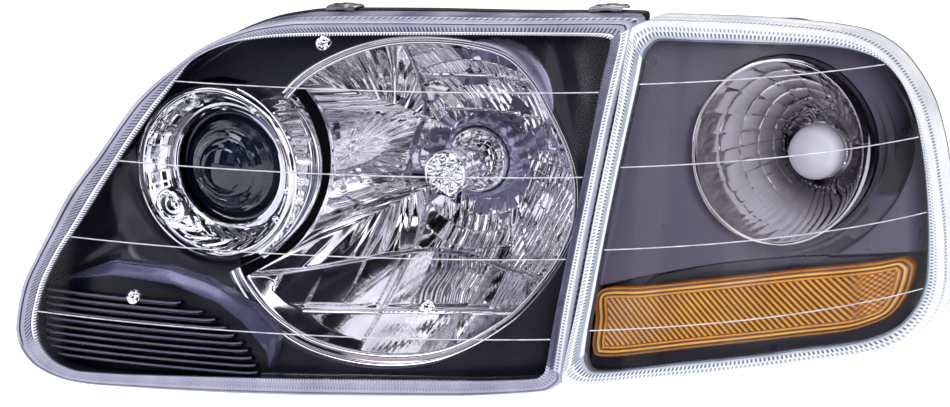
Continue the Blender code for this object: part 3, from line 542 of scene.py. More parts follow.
# -------------------------------------------------------------- clear lens
def window(name, c, outline, body, node, n=420, rows=26):
    a, _ = round_angles(outline, c, n)
    r = reach(outline, c, a) - 0.04
    ks = np.linspace(0, 1, rows + 1)[1:]
    ks = ks ** 0.9
    front = [ring(c, a, r * k, 0.0) for k in ks]
    back = []
    for k in ks[::-1]:
        x = c[0] + r * k * np.cos(a)
        back.append(ring(c, a, r * k, 3.0 * steep(x)))
    v, f = loops(front + back, (c[0], float(lens_y(*c)), c[1]), (c[0], float(lens_y(*c, 3.0 * steep(c[0]))), c[1]))
    return make(name, v, f, M["clear"], body, node)


def band(name, c, front, rear, inner, depth, skirt, flutes, tones, mat, body):
    """The fluted border of a lens with its side wall: closed, with rows of small flutes cut in it, painted darker in
    the grooves and lighter on the crests (painted shade and painted highlights).
    """
    n = flutes * 6
    a, length = round_angles(front, c, n)
    s = np.arange(n) / 6.0
    out, back, win = reach(front, c, a), reach(rear, c, a), reach(inner, c, a)
    x0, z0 = c[0] + out * np.cos(a), c[1] + out * np.sin(a)
    rings, painted_light = [], []
    for t in tones["rows"]:
        r = win + (out - 1.6 - win) * t
        relief, shade = tones["face"](t, s, x0, z0)
        rings.append(ring(c, a, r, relief))
        painted_light.append(shade)
    for q in (0.25, 0.5, 0.75, 1.0):
        ang = q * math.pi / 2
        r = out - 1.6 + 1.6 * math.sin(ang)
        rings.append(ring(c, a, r, 1.6 * (1 - math.cos(ang))))
        painted_light.append(tones["wall"](1.6 * q, s, x0, z0)[1])
    for off in tones["wall_rows"]:
        base = out + (back + 0.5 - out) * sstep((off - (skirt - 6.0)) / 5.0)
        relief, shade = tones["wall"](off, s, x0, z0)
        rings.append(ring(c, a, base + relief, off))
        painted_light.append(shade)
    rings.append(ring(c, a, back - 2.6, depth))
    painted_light.append(np.full(n, 0.2))
    xs = c[0] + (back - 3.4) * np.cos(a)
    rings.append(ring(c, a, np.minimum(back, out) - 3.4, 4.5 * steep(xs)))
    painted_light.append(np.full(n, 0.12))
    xs = c[0] + win * np.cos(a)
    rings.append(ring(c, a, win, 3.0 * steep(xs)))
    painted_light.append(np.full(n, 0.15))
    v, f = loops(rings, wrap=True)
    return make(name, v, f, mat, body, sharp=50, painted_light=np.concatenate(painted_light))


def square(t, duty=0.5, soft=0.12):
    u = t % 1.0
    return sstep((duty / 2 + soft - np.abs(u - 0.5)) / (2 * soft))


def head_face(t, s, x, z):
    """Relief and painted shade across the headlamp's border, t 0 at the window: painted shade in the flutes and painted
    highlights on their crests.
    """
    one = np.ones_like(s)
    right = sstep((x - 52.0 + z * -0.03) / 6.0) * (np.abs(z) < 98)
    low = sstep((-z - 96.0) / 6.0) * (1 - right)
    dots = square(s * 1.0, 0.5)
    rope = tri(s * 0.8 + (t - 0.3) * 3.2)
    if t < 0.13:
        main = (-0.35 * dots, 0.28 + 0.72 * dots)
    elif t < 0.25:
        main = (-0.30 * one, 0.93 * one)
    elif t < 0.28:
        main = (0.25 * one, 0.18 * one)
    elif t < 0.62:
        main = (-0.35 * rope, 0.18 + 0.62 * rope)
    elif t < 0.84:
        main = (0.0 * one, 0.62 * one)
    elif t < 0.90:
        main = (0.3 * one, 0.04 * one)
    else:
        main = (-0.1 * one, 0.72 * one)
    top_rope = sstep((z - 30) / 50)
    if t < 0.08:
        side = (0.0 * one, 0.35 * one)
    elif t < 0.52:
        side = (-0.2 * rope * top_rope, 0.30 + (0.42 * rope - 0.1) * top_rope)
    elif t < 0.57:
        side = (0.2 * one, 0.5 * one)
    elif t < 0.67:
        side = (-0.3 * one, 0.97 * one)
    elif t < 0.86:
        side = (-0.3 + 0.4 * dots, 1.0 - 0.5 * dots)
    else:
        side = (-0.3 * one, 0.97 * one)
    if t < 0.2:
        under = (-0.2 * dots, 0.55 + 0.2 * dots)
    elif t < 0.55:
        under = (0.0 * one, 0.62 * one)
    elif t < 0.72:
        under = (-0.15 * dots, 0.5 + 0.2 * dots)
    elif t < 0.9:
        under = (0.0 * one, 0.66 * one)
    else:
        under = (0.1 * one, 0.4 * one)
    relief = main[0] * (1 - right) * (1 - low) + side[0] * right + under[0] * low
    painted_light = main[1] * (1 - right) * (1 - low) + side[1] * right + under[1] * low
    return relief, painted_light


def head_wall(off, s, x, z):
    # Painted shade between the teeth of the side wall and painted highlights on them.
    teeth = square(s * 0.5, 0.5)
    if off < 3:
        return 0 * s, 0.66 + 0 * s
    if off < 9:
        return -0.5 * teeth, 0.35 + 0.4 * teeth
    if off < 12:
        return 0 * s, 0.8 + 0 * s
    return 0 * s, 0.58 + 0.06 * np.sin(s * 0.3)


def corner_face(t, s, x, z):
    # Relief and painted shade across the corner lamp's border: painted shade in the flutes and painted highlights on
    # their crests.
    one = np.ones_like(s)
    left = sstep((73.0 - x + z * 0.07) / 4.0) * (np.abs(z + 3) < 96)
    dots = square(s * 1.0, 0.45)
    rung = square(s * 1.0, 0.62)
    if t < 0.13:
        main = (0.1 * one, 0.35 * one)
    elif t < 0.30:
        main = (-0.3 * one, 0.62 + 0.06 * dots)
    elif t < 0.52:
        main = (-0.35 * rung, 0.16 + 0.74 * rung)
    elif t < 0.62:
        main = (-0.3 * one, 0.86 * one)
    elif t < 0.82:
        main = (-0.3 + 0.3 * dots, 0.93 - 0.42 * dots)
    else:
        main = (-0.1 * one, 0.9 * one)
    if t < 0.10:
        side = (0.2 * one, 0.12 * one)
    elif t < 0.30:
        side = (-0.3 * one, 1.0 * one)
    elif t < 0.55:
        side = (0.0 * one, 0.60 * one)
    elif t < 0.67:
        side = (-0.3 + 0.4 * dots, 0.95 - 0.85 * dots)
    elif t < 0.82:
        side = (-0.3 * one, 0.97 * one)
    else:
        side = (-0.2 * rung, 0.45 + 0.5 * rung)
    return main[0] * (1 - left) + side[0] * left, main[1] * (1 - left) + side[1] * left


def corner_wall(off, s, x, z):
    # Painted shade between the teeth of the side wall and painted highlights on them.
    teeth = square(s * 1.0, 0.5)
    if off < 2.4:
        return 0 * s, 0.92 + 0 * s
    if off < 8:
        return -0.4 * teeth, 0.42 + 0.52 * teeth
    return 0 * s, 0.9 + 0.05 * np.sin(s * 0.21)


HEAD_ROWS = [0.0, 0.02, 0.065, 0.11, 0.125, 0.14, 0.19, 0.24, 0.26, 0.27, 0.29, 0.35, 0.41, 0.47, 0.52, 0.545, 0.565, 0.60, 0.63, 0.66,
             0.70, 0.76, 0.82, 0.85, 0.87, 0.89, 0.92, 0.96, 1.0]
CORNER_ROWS = [0.0, 0.05, 0.09, 0.115, 0.14, 0.20, 0.28, 0.31, 0.35, 0.42, 0.50, 0.53, 0.56, 0.60, 0.63, 0.66, 0.68, 0.74, 0.80, 0.83,
               0.86, 0.93, 1.0]
window("lens_window_head", HC, S_HEADW, "housing", "headlamp_lens")
band("lens_border_head", HC, S_HEAD, S_HEADB, S_HEADW, 30.0, 27.5, 560,
     {"rows": HEAD_ROWS, "face": head_face, "wall": head_wall, "wall_rows": [2.8, 3.1, 5.0, 8.9, 9.2, 11.8, 12.2, 17, 21.5, 24, 26.5, 30.0]},
     M["band"], "housing")
window("lens_window_corner", CC, S_CORNERW, "corner_lamp", "corner_lens", 320, 20)
band("lens_border_corner", CC, S_CORNER, S_CORNERB, S_CORNERW, 25.0, 23.0, 330,
     {"rows": CORNER_ROWS, "face": corner_face, "wall": corner_wall, "wall_rows": [2.2, 2.6, 4.0, 7.8, 8.2, 12, 17, 20, 22, 25.0]},
     M["band2"], "corner_lamp")


def span_at(outline, z):
    """Least and greatest x of the outline at height z."""
    p = np.asarray(outline)
    q = np.roll(p, -1, 0)
    hit = (p[:, 1] - z) * (q[:, 1] - z) <= 0
    p, q = p[hit], q[hit]
    d = np.where(np.abs(q[:, 1] - p[:, 1]) < 1e-9, 1e-9, q[:, 1] - p[:, 1])
    x = p[:, 0] + (q[:, 0] - p[:, 0]) * (z - p[:, 1]) / d
    return x.min(), x.max()


def ridge(outline, z, wide=0.33, tall=0.4):
    x0, x1 = span_at(outline, z)
    xs = np.linspace(x0 + 0.4, x1 - 0.4, 160)
    prof = [(-wide, 0.05), (-wide * 0.7, -tall * 0.6), (0, -tall), (wide * 0.7, -tall * 0.6), (wide, 0.05), (0, 0.4)]
    return loops([np.array([(x, float(lens_y(x, z + dz, off)), z + dz) for dz, off in prof]) for x in xs], caps=True)


v, f = joined([ridge(S_HEADW, z) for z in (62.0, 14.5, -31.8, -77.5)])
make("lens_ridges_head", v, f, M["rib"], "housing")
v, f = joined([ridge(S_CORNERW, z) for z in (66.0, 19.5, -27.0, -73.0)])
make("lens_ridges_corner", v, f, M["rib"], "corner_lamp")

# aiming nubs on the lens
nubs = []
for x, z in ((-96.1, 87.9), (-194.4, -62.5), (-20.1, -58.8)):
    y = float(lens_y(x, z))
    slope_x = float(lens_y(x + 0.5, z) - lens_y(x - 0.5, z))
    slope_z = float(lens_y(x, z + 0.5) - lens_y(x, z - 0.5))
    pv, pf = turned((0, 0), [(0, 0.6), (4.2, 0.6), (4.2, -1.0), (3.9, -1.5), (3.2, -1.7), (2.8, -1.3), (2.2, -1.0), (1.8, -1.5), (1.2, -2.1),
                             (0.5, -2.2), (0, -2.2)], 48)
    pv = pv.copy()
    lumps = 0.25 * np.cos(5 * np.arctan2(pv[:, 2], pv[:, 0])) * (np.hypot(pv[:, 0], pv[:, 2]) > 1.5)
    pv[:, 1] += lumps + y + slope_x * pv[:, 0] + slope_z * pv[:, 2]
    pv[:, 0] += x
    pv[:, 2] += z
    nubs.append((pv, pf))
v, f = joined(nubs)
make("lens_aiming_nubs", v, f, M["chrome"], "housing")

# ------------------------------------------------------------ inner bezel
NB = 720
ba, _ = round_angles(S_HEADB, HC, NB)
hr = reach(S_HEADB, HC, ba)
op = np.maximum(reach(S_OPEN, HC, ba), circle(HC, PROJ, 54.6, ba))
wall = hr - 4.6
inb = np.minimum(op, wall - 0.8)


def creases(x, z):
    """Shallow folds that fan out over the lower left of the bezel, and two soft dents."""
    t = np.arctan2(z + 66.0, x + 268.0)
    r = np.hypot(x + 268.0, z + 66.0)
    fold = 1.6 * bump((t - 0.30) / 0.16) * sstep(r / 30) * bump((r - 60) / 70)
    fold += 1.2 * bump((t - 0.62) / 0.14) * sstep(r / 30) * bump((r - 50) / 60)
    right = bump((x - 30) / 26) * bump((z - 60) / 45) * 3.0 * tri((x + 0.35 * z) / 17.0)
    return fold - right * 0.6


def dished(p, low=0.0):
    """Lowers the tray round the projector, so that its ring stands clear."""
    q = p.copy()
    w = bump(np.maximum(np.hypot(p[:, 0] - PROJ[0], p[:, 2] - PROJ[1]) - 54.0, 0) / 17.0)
    q[:, 1] += w * np.maximum(-9.5 + low - p[:, 1], 0)
    return q


rs = [dished(ring(HC, ba, inb + 0.2, 32.0), 3.0), dished(ring(HC, ba, inb, 29.0), 1.2), dished(ring(HC, ba, inb + 0.25, 28.2), 0.4),
      dished(ring(HC, ba, inb + 0.8, 27.8))]
for k in np.linspace(0.03, 1, 26):
    r = inb + 0.8 + (wall - 1.6 - inb - 0.8) * k
    x, z = HC[0] + r * np.cos(ba), HC[1] + r * np.sin(ba)
    fade = sstep(k / 0.15) * sstep((1 - k) / 0.15)
    rs.append(dished(ring(HC, ba, r, 27.8 - creases(x, z) * fade - 1.2 * k * (1 - k))))
for off, dr in ((27.2, -0.7), (26.0, -0.1), (20.0, 0.0), (12.0, 0.1), (9.4, 0.2), (9.0, 0.5), (9.4, 0.9), (30.0, 0.9)):
    rs.append(ring(HC, ba, wall + dr, off))
rs.append(dished(ring(HC, ba, 0.5 * (wall + inb), 31.4), 3.0))
v, f = loops(rs, wrap=True)
make("bezel_tray_head", v, f, M["bezel"], "housing", "inner_bezel", sharp=40)

# opening trim: a double bright rim, and a satin crescent at its upper right
NM = 900
ma = TAU * np.arange(NM) / NM


def main_edge(ang, grow, clear_r):
    return np.minimum(reach(S_OPEN, MAIN, ang) + grow, circle(MAIN, PROJ, clear_r, ang, far=False))


rim = main_edge(ma, 0.4, 57.0)
low = bump(((ma - 4.45 + math.pi) % TAU - math.pi) / 0.95)
rs = []
for dr, off in ((-5.2, 36.0), (-5.2, 34.4), (-4.9, 33.2), (-4.2, 32.4), (-3.5, 32.3), (-2.9, 32.9), (-2.6, 33.9), (-2.4, 34.6), (-1.9, 34.6),
                (-1.7, 33.6), (-1.3, 32.0), (-0.5, 31.1), (0.4, 31.1), (1.0, 31.9), (1.2, 33.0), (1.3, 33.8), (2.2, 33.8), (2.6, 34.4), (2.6, 36.0)):
    rs.append(ring(MAIN, ma, rim + dr - (1.6 * low if dr < -2 else 0.0), off))
v, f = loops(rs, wrap=True)
make("opening_rim", v, f, M["chrome"], "housing", "opening_trim", sharp=60)

ca = np.linspace(math.radians(31), math.radians(76), 120)
wide = 9.0 * np.sin((ca - ca[0]) / (ca[-1] - ca[0]) * math.pi) ** 0.8
base = reach(S_OPEN, MAIN, ca)
rs = []
for k in range(len(ca)):
    one = ca[k:k + 1]
    sec = []
    for frac, off in ((0.0, 29.0), (0.0, 27.3), (0.15, 26.6), (0.5, 26.2), (0.85, 26.6), (1.0, 27.3), (1.0, 29.0)):
        sec.append(ring(MAIN, one, base[k:k + 1] - 0.2 + 0.3 + wide[k] * frac, off)[0])
    rs.append(np.array(sec))
v, f = loops(rs, caps=True)
make("opening_crescent", v, f, M["satin"], "housing", sharp=60)

# --------------------------------------------------------- main reflector
VERTEX, EDGE_OFF = 115.0, 45.0
spare = 3.0 - 3.0 * np.maximum(np.cos(ma), 0.0)
mouth = main_edge(ma, 0.0, 63.0) + spare
mouth = np.minimum(mouth, circle(MAIN, PROJ, 63.0, ma, far=False))
mx, mz = MAIN[0] + mouth * np.cos(ma), MAIN[1] + mouth * np.sin(ma)
medge = lens_y(mx, mz, EDGE_OFF)
rng = np.random.default_rng(11)
NCA, NCK = 34, 14
tilt = rng.uniform(-1, 1, (NCA, NCK, 2))


def reflector_detail(x, z, q, a):
    d = np.zeros_like(x)
    hole = np.hypot(x + 98.0, z - 15.0)
    left = sstep((-77.0 + 0.10 * (z - 48.0) * (z > -14) - x) / 2.0)
    zs = -54.0 + 2.5 * np.cos((x + 68.0) / 60.0 * math.pi)
    zl = -70.5 - 7.3 * np.clip(1 - ((x + 65.0) / 72.0) ** 2, 0, 1)
    below = sstep((zl - z) / 1.2)
    shelf = sstep((zs - z) / 1.2)
    core = sstep((q - 24.0) / 8.0)
    # vertical step between the left part and the middle
    d -= 2.6 * left * core
    # hair-fine fans round the dark hole
    t = np.arctan2(z - 15.0, x + 98.0)
    grow = np.clip(hole / 42.0, 0, 1)
    fan = np.sin(t * 22 + 0.045 * hole) * 0.55 + np.sin(t * 47 + 1.3 + 0.09 * hole) * 0.22 + np.sin(t * 9 + 2.0) * 0.5
    d += left * (1 - shelf) * fan * grow * 1.15
    d += 2.6 * np.exp(-((hole / 5.2) ** 2)) * left
    d -= 1.2 * left * np.exp(-(((hole - 9.0) / 2.4) ** 2))
    # middle and right: tilted cells with fine slanted flutes
    ia = np.clip((a / TAU * NCA).astype(int), 0, NCA - 1)
    ik = np.clip((q / 9.0).astype(int), 0, NCK - 1)
    ac, qc = (ia + 0.5) / NCA * TAU, (ik + 0.5) * 9.0
    xc, zc = MAIN[0] + qc * np.cos(ac), MAIN[1] + qc * np.sin(ac)
    cell = tilt[ia, ik]
    right = (1 - left) * (1 - shelf)
    upper = sstep((z - 0.0) / 14.0)
    d += right * core * (0.27 * (cell[..., 0] * (x - xc) + cell[..., 1] * (z - zc)))
    d += right * core * upper * 0.42 * np.sin((x + 0.40 * z) * 1.25 + 1.6 * np.sin(z / 7.0) + cell[..., 0] * 3) * (cell[..., 1] > -0.45)
    # wide slanted flutes, low on the right, and drips under the bulb
    u = (x - 0.42 * z)
    flute = np.abs(np.sin(u * math.pi / 4.6))
    d -= right * core * (1 - upper) * sstep((x + 22) / 10.0) * 1.1 * flute
    drip = np.abs(np.sin((x + 1.0 * np.sin(z / 5.0)) * math.pi / 5.2))
    d -= right * core * (1 - upper) * bump((x + 46) / 30.0) * 1.0 * drip
    # shelf, the panels under it, ledge, and the plain mirror at the bottom
    d -= 3.2 * shelf * (1 - below)
    col = ((x + 150.0) / 17.0).astype(int)
    tilt2 = tilt[col % NCA, 3, 0], tilt[(col * 7) % NCA, 5, 1]
    d += shelf * (1 - below) * (0.22 * tilt2[0] * (((x + 150.0) % 17.0) - 8.5) + 0.25 * tilt2[1] * (z + 63.0))
    d += shelf * (1 - below) * 0.35 * np.sin(x * 1.1 + 1.2 * np.sin(z / 3.0)) * (tilt2[0] > 0.3)
    d -= 4.4 * below
    d -= 1.0 * below * np.exp(-(((z - zl + 2.8) / 0.5) ** 2))
    # two thin ribs across at z 63 and 32
    for zr, x0, x1 in ((55.0, -76, 30), (31.0, -76, -6)):
        d -= 0.8 * np.exp(-(((z - zr) / 0.7) ** 2)) * (x > x0) * (x < x1)
    return d * sstep((q - 21.0) / 5.0)


ks = np.linspace(1.0, 0.0, 210)
rs = [ring(MAIN, ma, mouth + 0.0, EDGE_OFF + 3.2)]
for k in ks:
    q = 20.5 + (mouth - 20.5) * k
    x, z = MAIN[0] + q * np.cos(ma), MAIN[1] + q * np.sin(ma)
    y = VERTEX - (VERTEX - medge) * (0.25 * k + 0.75 * k * k)
    y = y + np.maximum(reflector_detail(x, z, q, ma), -1.2 - 60.0 * (1.0 - k)) * float(sstep((1.0 - k) / 0.03))
    rs.append(np.stack([x, y, z], 1))
rs += [ring_y(MAIN, ma, np.full(NM, 20.5), 120.5), ring_y(MAIN, ma, np.full(NM, 24.0), 120.5), ring_y(MAIN, ma, np.full(NM, 24.0), 119.4)]
for k in (0.1, 0.3, 0.5, 0.7, 0.9, 0.98):
    q = 20.5 + (mouth - 20.5) * k
    x, z = MAIN[0] + q * np.cos(ma), MAIN[1] + q * np.sin(ma)
    y = VERTEX - (VERTEX - medge) * (0.25 * k + 0.75 * k * k) + 4.0
    rs.append(np.stack([x, y, z], 1))
v, f = loops(rs, wrap=True)
make("reflector_mirror", v, f, M["mirror"], "reflector", "main_reflector", sharp=40)

# glare shield: a cap with nine bumps on a ribbed cone
n = 216
a = TAU * (np.arange(n) + 0.5) / n
rows = []
for r, y in ((1.2, 50.2), (2.4, 50.5), (3.2, 51.6), (4.0, 52.0), (5.0, 51.0), (5.8, 50.7), (6.5, 51.3), (7.2, 51.9), (8.2, 51.9), (9.0, 51.9),
             (10.0, 51.9), (11.0, 51.7), (11.8, 51.0), (12.6, 50.8), (13.3, 51.4), (13.6, 52.6), (13.6, 62.0)):
    near = np.clip(1 - ((r - 9.3) / 2.3) ** 2, 0, 1)
    lump = np.clip(1 - ((((a * 9 / TAU) % 1.0) - 0.5) * TAU * 9.3 / 9 / 2.4) ** 2, 0, 1) * near
    small = 0.35 * np.cos(6 * a) * (r < 6) * (r > 2)
    rows.append(ring_y(MAIN, a, r, y - 2.3 * np.sqrt(lump) + small))
for k in np.linspace(0.04, 1, 24):
    r, y = 13.4 - 2.4 * k, 62.0 + 46.0 * k
    fan = 0.9 * (square(a * 11 / TAU, 0.55, 0.04) - 0.5) * sstep((k - 0.12) / 0.1) * sstep((0.96 - k) / 0.05)
    groove = -0.6 * bump((k - 0.08) / 0.05) - 0.6 * bump((k - 0.55) / 0.03)
    rows.append(ring_y(MAIN, a, r + fan + groove, y))
rows += [ring_y(MAIN, a, 10.0, 108.0), ring_y(MAIN, a, 12.0, 63.0), ring_y(MAIN, a, 12.0, 54.5)]
v, f = loops(rows, (MAIN[0], 50.2, MAIN[1]), (MAIN[0], 54.5, MAIN[1]))
make("shield_cap", v, f, M["chrome"], "reflector", "glare_shield", sharp=35)

# collar behind the shield, round the bulb hole
rs = []
na = TAU * np.arange(180) / 180
for r, y in ((20.3, 119.2), (20.3, 101.0), (20.9, 99.6), (22.0, 99.2), (23.0, 99.8), (23.4, 101.5), (23.6, 106.0), (23.6, 117.0)):
    rs.append(ring_y(MAIN, na, r + 0.5 * np.cos(20 * na) * (r > 21), y))
v, f = loops(rs, wrap=True)
make("bulb_hole_collar", v, f, M["satin"], "reflector", sharp=40)

# fan of bright and dark steps on the cone between the shield and the collar
n = 264
a = TAU * (np.arange(n) + 0.5) / n
rs = []
for k in np.linspace(0, 1, 26):
    r = 11.8 + 8.2 * k
    step = 1.3 * (square(a * 11 / TAU, 0.52, 0.03) - 0.5) * sstep(k / 0.06) * sstep((0.80 - k) / 0.04)
    lip = -1.8 * bump((k - 0.86) / 0.05) - 1.6 * bump((k - 0.97) / 0.04)
    rs.append(ring_y(MAIN, a, r, 90.0 + 9.0 * k ** 1.5 + step + lip))
rs += [ring_y(MAIN, a, 20.2, 101.5), ring_y(MAIN, a, 12.2, 101.5)]
v, f = loops(rs, wrap=True)
make("shield_fan", v, f, M["chrome"], "reflector", sharp=30)

# chrome skirt from the projector's ring back to the edge of the main mirror
ka = np.linspace(-1.02, 1.28, 330)
rings = []
front_r, rear_r = 54.6, 58.6
for g in np.linspace(0, 1, 60):
    r = front_r + (rear_r - front_r) * g ** 0.9
    x, z = PROJ[0] + r * np.cos(ka), PROJ[1] + r * np.sin(ka)
    yr = lens_y(PROJ[0] + 61 * np.cos(ka), PROJ[1] + 61 * np.sin(ka), 39.5)
    y = -12.5 + (yr + 12.5) * g
    t = np.arctan2(z - 15.0, x + 60.0)
    wave = 0.9 * np.sin(ka * 26 + 4.0 * g + 1.5 * np.sin(ka * 5)) + 0.5 * np.sin(ka * 57 + 7.0 * g)
    rr = r + wave * 0.75 * sstep(g / 0.08) * sstep((1 - g) / 0.12) * 0.9
    rings.append(np.stack([PROJ[0] + rr * np.cos(ka), y, PROJ[1] + rr * np.sin(ka)], 1))
outer = np.array(rings)
inner_skin = outer.copy()
cdir = np.stack([np.cos(ka), np.zeros_like(ka), np.sin(ka)], 1)
inner_skin = np.stack([np.stack([PROJ[0] + (front_r + (rear_r - front_r) * g ** 0.9 - 1.6) * np.cos(ka), outer[i][:, 1],
                                 PROJ[1] + (front_r + (rear_r - front_r) * g ** 0.9 - 1.6) * np.sin(ka)], 1)
                       for i, g in enumerate(np.linspace(0, 1, 60))])
sections = []
for j in range(len(ka)):
    sections.append(np.vstack([outer[:, j], inner_skin[::-1, j]]))
v, f = loops(sections, caps=True)
make("projector_skirt", v, f, M["mirror"], "housing", sharp=50)

# --------------------------------------------------------------- projector
n = 540
a = TAU * np.arange(n) / n
BOSS = [(-0.62 + math.pi / 2 + 0.10, 43.5, 4.4, 1.0), (math.pi / 2 + 0.42, 44.0, 5.2, 1.0), (0.52, 44.5, 3.0, 1.0), (-0.18, 45.0, 2.8, 1.0),
        (-0.62, 44.5, 2.8, 1.0), (math.pi + 0.62, 42.5, 7.2, 1.6)]
rs = [ring_y(PROJ, a, 53.0, 9.8), ring_y(PROJ, a, 53.4, 0.0), ring_y(PROJ, a, 53.4, -13.0)]
for q in (0.2, 0.5, 0.8, 1.0):
    rs.append(ring_y(PROJ, a, 53.4 - 2.6 * q, -13.0 - 2.8 * math.sin(q * math.pi / 2)))
for k in np.linspace(0.02, 1, 60):
    r = 50.6 - 14.6 * k
    y = -15.6 + 21.6 * (k ** 0.85)
    if k < 0.12:
        y += 1.5 * bump((k - 0.075) / 0.05)
    d = np.zeros(n)
    for ang, br, size, squash in BOSS:
        t = ((a - ang + math.pi) % TAU - math.pi) * br / squash
        dist = np.hypot(t, (r - br) * 1.25) / size
        d -= 2.6 * sstep((1.0 - dist) / 0.18) - 1.5 * sstep((0.62 - dist) / 0.12) + 1.6 * sstep((0.34 - dist) / 0.12) * -1
    lower = bump(((a + math.pi / 2 + math.pi) % TAU - math.pi) / 1.25)
    d += lower * 0.7 * np.sin(a * 23 + 3 * np.sin(k * 9)) * bump((k - 0.5) / 0.45)
    leftz = bump(((a - math.pi + math.pi) % TAU - math.pi) / 0.9)
    d += leftz * 1.0 * (square(a * 9 / TAU * 2, 0.5, 0.03) - 0.5) * bump((k - 0.5) / 0.4)
    steps = 0.5 * np.round(np.sin(k * 16) * 2) / 2
    rs.append(ring_y(PROJ, a, r, y + d * sstep((1 - k) / 0.08) + steps * 0.5 * sstep((k - 0.1) / 0.1)))
rs += [ring_y(PROJ, a, 35.6, 4.4), ring_y(PROJ, a, 34.9, 4.2), ring_y(PROJ, a, 34.5, 5.2), ring_y(PROJ, a, 35.2, 8.4), ring_y(PROJ, a, 38.0, 8.6),
       ring_y(PROJ, a, 47.0, 8.8)]
v, f = loops(rs, wrap=True)
make("projector_funnel", v, f, M["chrome"], "housing", "projector_ring", sharp=30)

# projector lens: a dome with fine concentric steps
n = 300
a = TAU * np.arange(n) / n
rs = []
for r in np.concatenate([np.linspace(0.8, 31.0, 60), [31.8, 32.6]]):
    y = -6.5 + 17.0 * (r / 31.5) ** 2.1
    for edge in (12.5, 19.0, 24.5, 28.5):
        y += 0.45 * sstep((r - edge) / 0.5) - 0.45 * sstep((r - edge - 2.5) / 2.0)
    rs.append(ring_y(PROJ, a, r, min(y, 11.2)))
rs += [ring_y(PROJ, a, 33.6, 11.3), ring_y(PROJ, a, 33.6, 15.0)]
v, f = loops(rs, (PROJ[0], -6.5, PROJ[1]), (PROJ[0], 15.0, PROJ[1]))
make("projector_dome", v, f, M["glass"], "housing", "projector_lens", sharp=50)

# ------------------------------------------------- louvre panel and fin
top_l = np.array(sorted(LOUVRE))


def top_at(x):
    return np.interp(x, top_l[:, 0], top_l[:, 1])


def right_at(z):
    part = top_l[3:][::-1]
    return np.interp(z, part[:, 1], part[:, 0])


parts = []
count = 10
for k in range(count):
    z = -68.8 - k * 4.15
    x0 = -268.0 + (0.10 * (-z - 70) if z > -100 else 3.0 + 1.2 * (-z - 100))
    x1 = float(right_at(z)) - 2.0 if z < -69.5 else -176.0
    xs = np.linspace(x0, x1, 70)
    rings = []
    for i, x in enumerate(xs):
        end = min((i + 0.6) / 6.0, (len(xs) - i - 0.4) / 4.0, 1.0)
        end = math.sqrt(max(1 - (1 - end) ** 2, 0.0)) if end < 1 else 1.0
        sec = [(0.0, 26.5), (0.0, 20.2), (0.15, 19.2), (-0.35, 18.4), (-1.1, 18.2), (-1.8, 18.5), (-2.15, 19.4), (-2.3, 21.5), (-2.7, 24.0), (-2.7, 26.5)]
        rings.append(np.array([(x, float(lens_y(x, z + dz, 26.5 - (26.5 - off) * end)), z + dz) for dz, off in sec]))
    parts.append(loops(rings, caps=True))
v, f = joined(parts)
# Painted highlight along each rib's top front edge, painted shade on the rest of the rib.
shade = np.tile(np.array([0.0, 0.35, 0.85, 0.95, 0.35, 0.12, 0.06, 0.02, 0.0, 0.0]), len(v) // 10)
make("louvre_ribs", v, f, M["louvre"], "housing", "louvre_insert", sharp=35, painted_light=shade)

low_e = np.array(FIN[:7])
top_e = np.array([FIN[0]] + FIN[:6:-1])
t = np.linspace(0, 1, 60)


def along(p, t):
    s = np.concatenate([[0], np.cumsum(np.linalg.norm(np.diff(p, axis=0), axis=1))])
    return np.stack([np.interp(t * s[-1], s, p[:, 0]), np.interp(t * s[-1], s, p[:, 1])], 1)


lo, hi = along(low_e, t), along(top_e, t)
rings = []
for i in range(len(t)):
    sec = []
    for w_, off in ((0.0, 26.0), (0.0, 19.0), (0.02, 17.6), (0.10, 17.0), (0.3, 17.4), (0.6, 19.2), (0.85, 20.2), (0.93, 19.2), (1.0, 19.4), (1.02, 21.0), (1.02, 26.0)):
        p = lo[i] + (hi[i] - lo[i]) * w_
        sec.append((p[0], float(lens_y(p[0], p[1], off)), p[1]))
    rings.append(np.array(sec))
v, f = loops(rings, caps=True)
make("fin_crescent", v, f, M["fin"], "housing", "bezel_fin", sharp=45)

# ------------------------------------------------------------ corner lamp
NC = 540
qa, _ = round_angles(S_CORNERB, CC, NC)
cr = reach(S_CORNERB, CC, qa)
cw = cr - 4.3
ta = TAU * np.arange(360) / 360
br = reach(S_BOWL, TURN, ta)
mouth_pts = np.stack([TURN[0] + (br + 3.0) * np.cos(ta), TURN[1] + (br + 3.0) * np.sin(ta)], 1)
he = reach(mouth_pts, CC, qa)


def tray_off(x, z):
    t = np.clip((x - 95.0) / 85.0, 0, 1)
    upper = 17.0 + 9.0 * t
    crease = -44.0 + 1.2 * np.sin((x - 61) / 136 * math.pi) * 8 - 8
    s = sstep((crease - z + 1.0) / 3.0)
    deep = upper + (30.0 - upper) * s
    # round pocket with steps on the right of the bowl and under it
    r = np.hypot(x - TURN[0], z - TURN[1])
    a = np.arctan2(z - TURN[1], x - TURN[0])
    rim_r = reach(S_BOWL, TURN, a.ravel()).reshape(a.shape)
    g = r - rim_r
    side = bump((a + 0.35) / 1.45)
    pocket = 0.0
    for edge, depth in ((2.0, 2.5), (5.2, 2.5), (8.8, 3.0)):
        pocket = pocket + depth * sstep((g - edge) / 0.6)
    pocket = pocket * (1 - sstep((g - 15.5) / 2.5))
    return np.minimum(deep + pocket * side, 31.0) - 3.0 * np.clip((x - 185.0) / 15.0, 0, 1) * (1 - s)


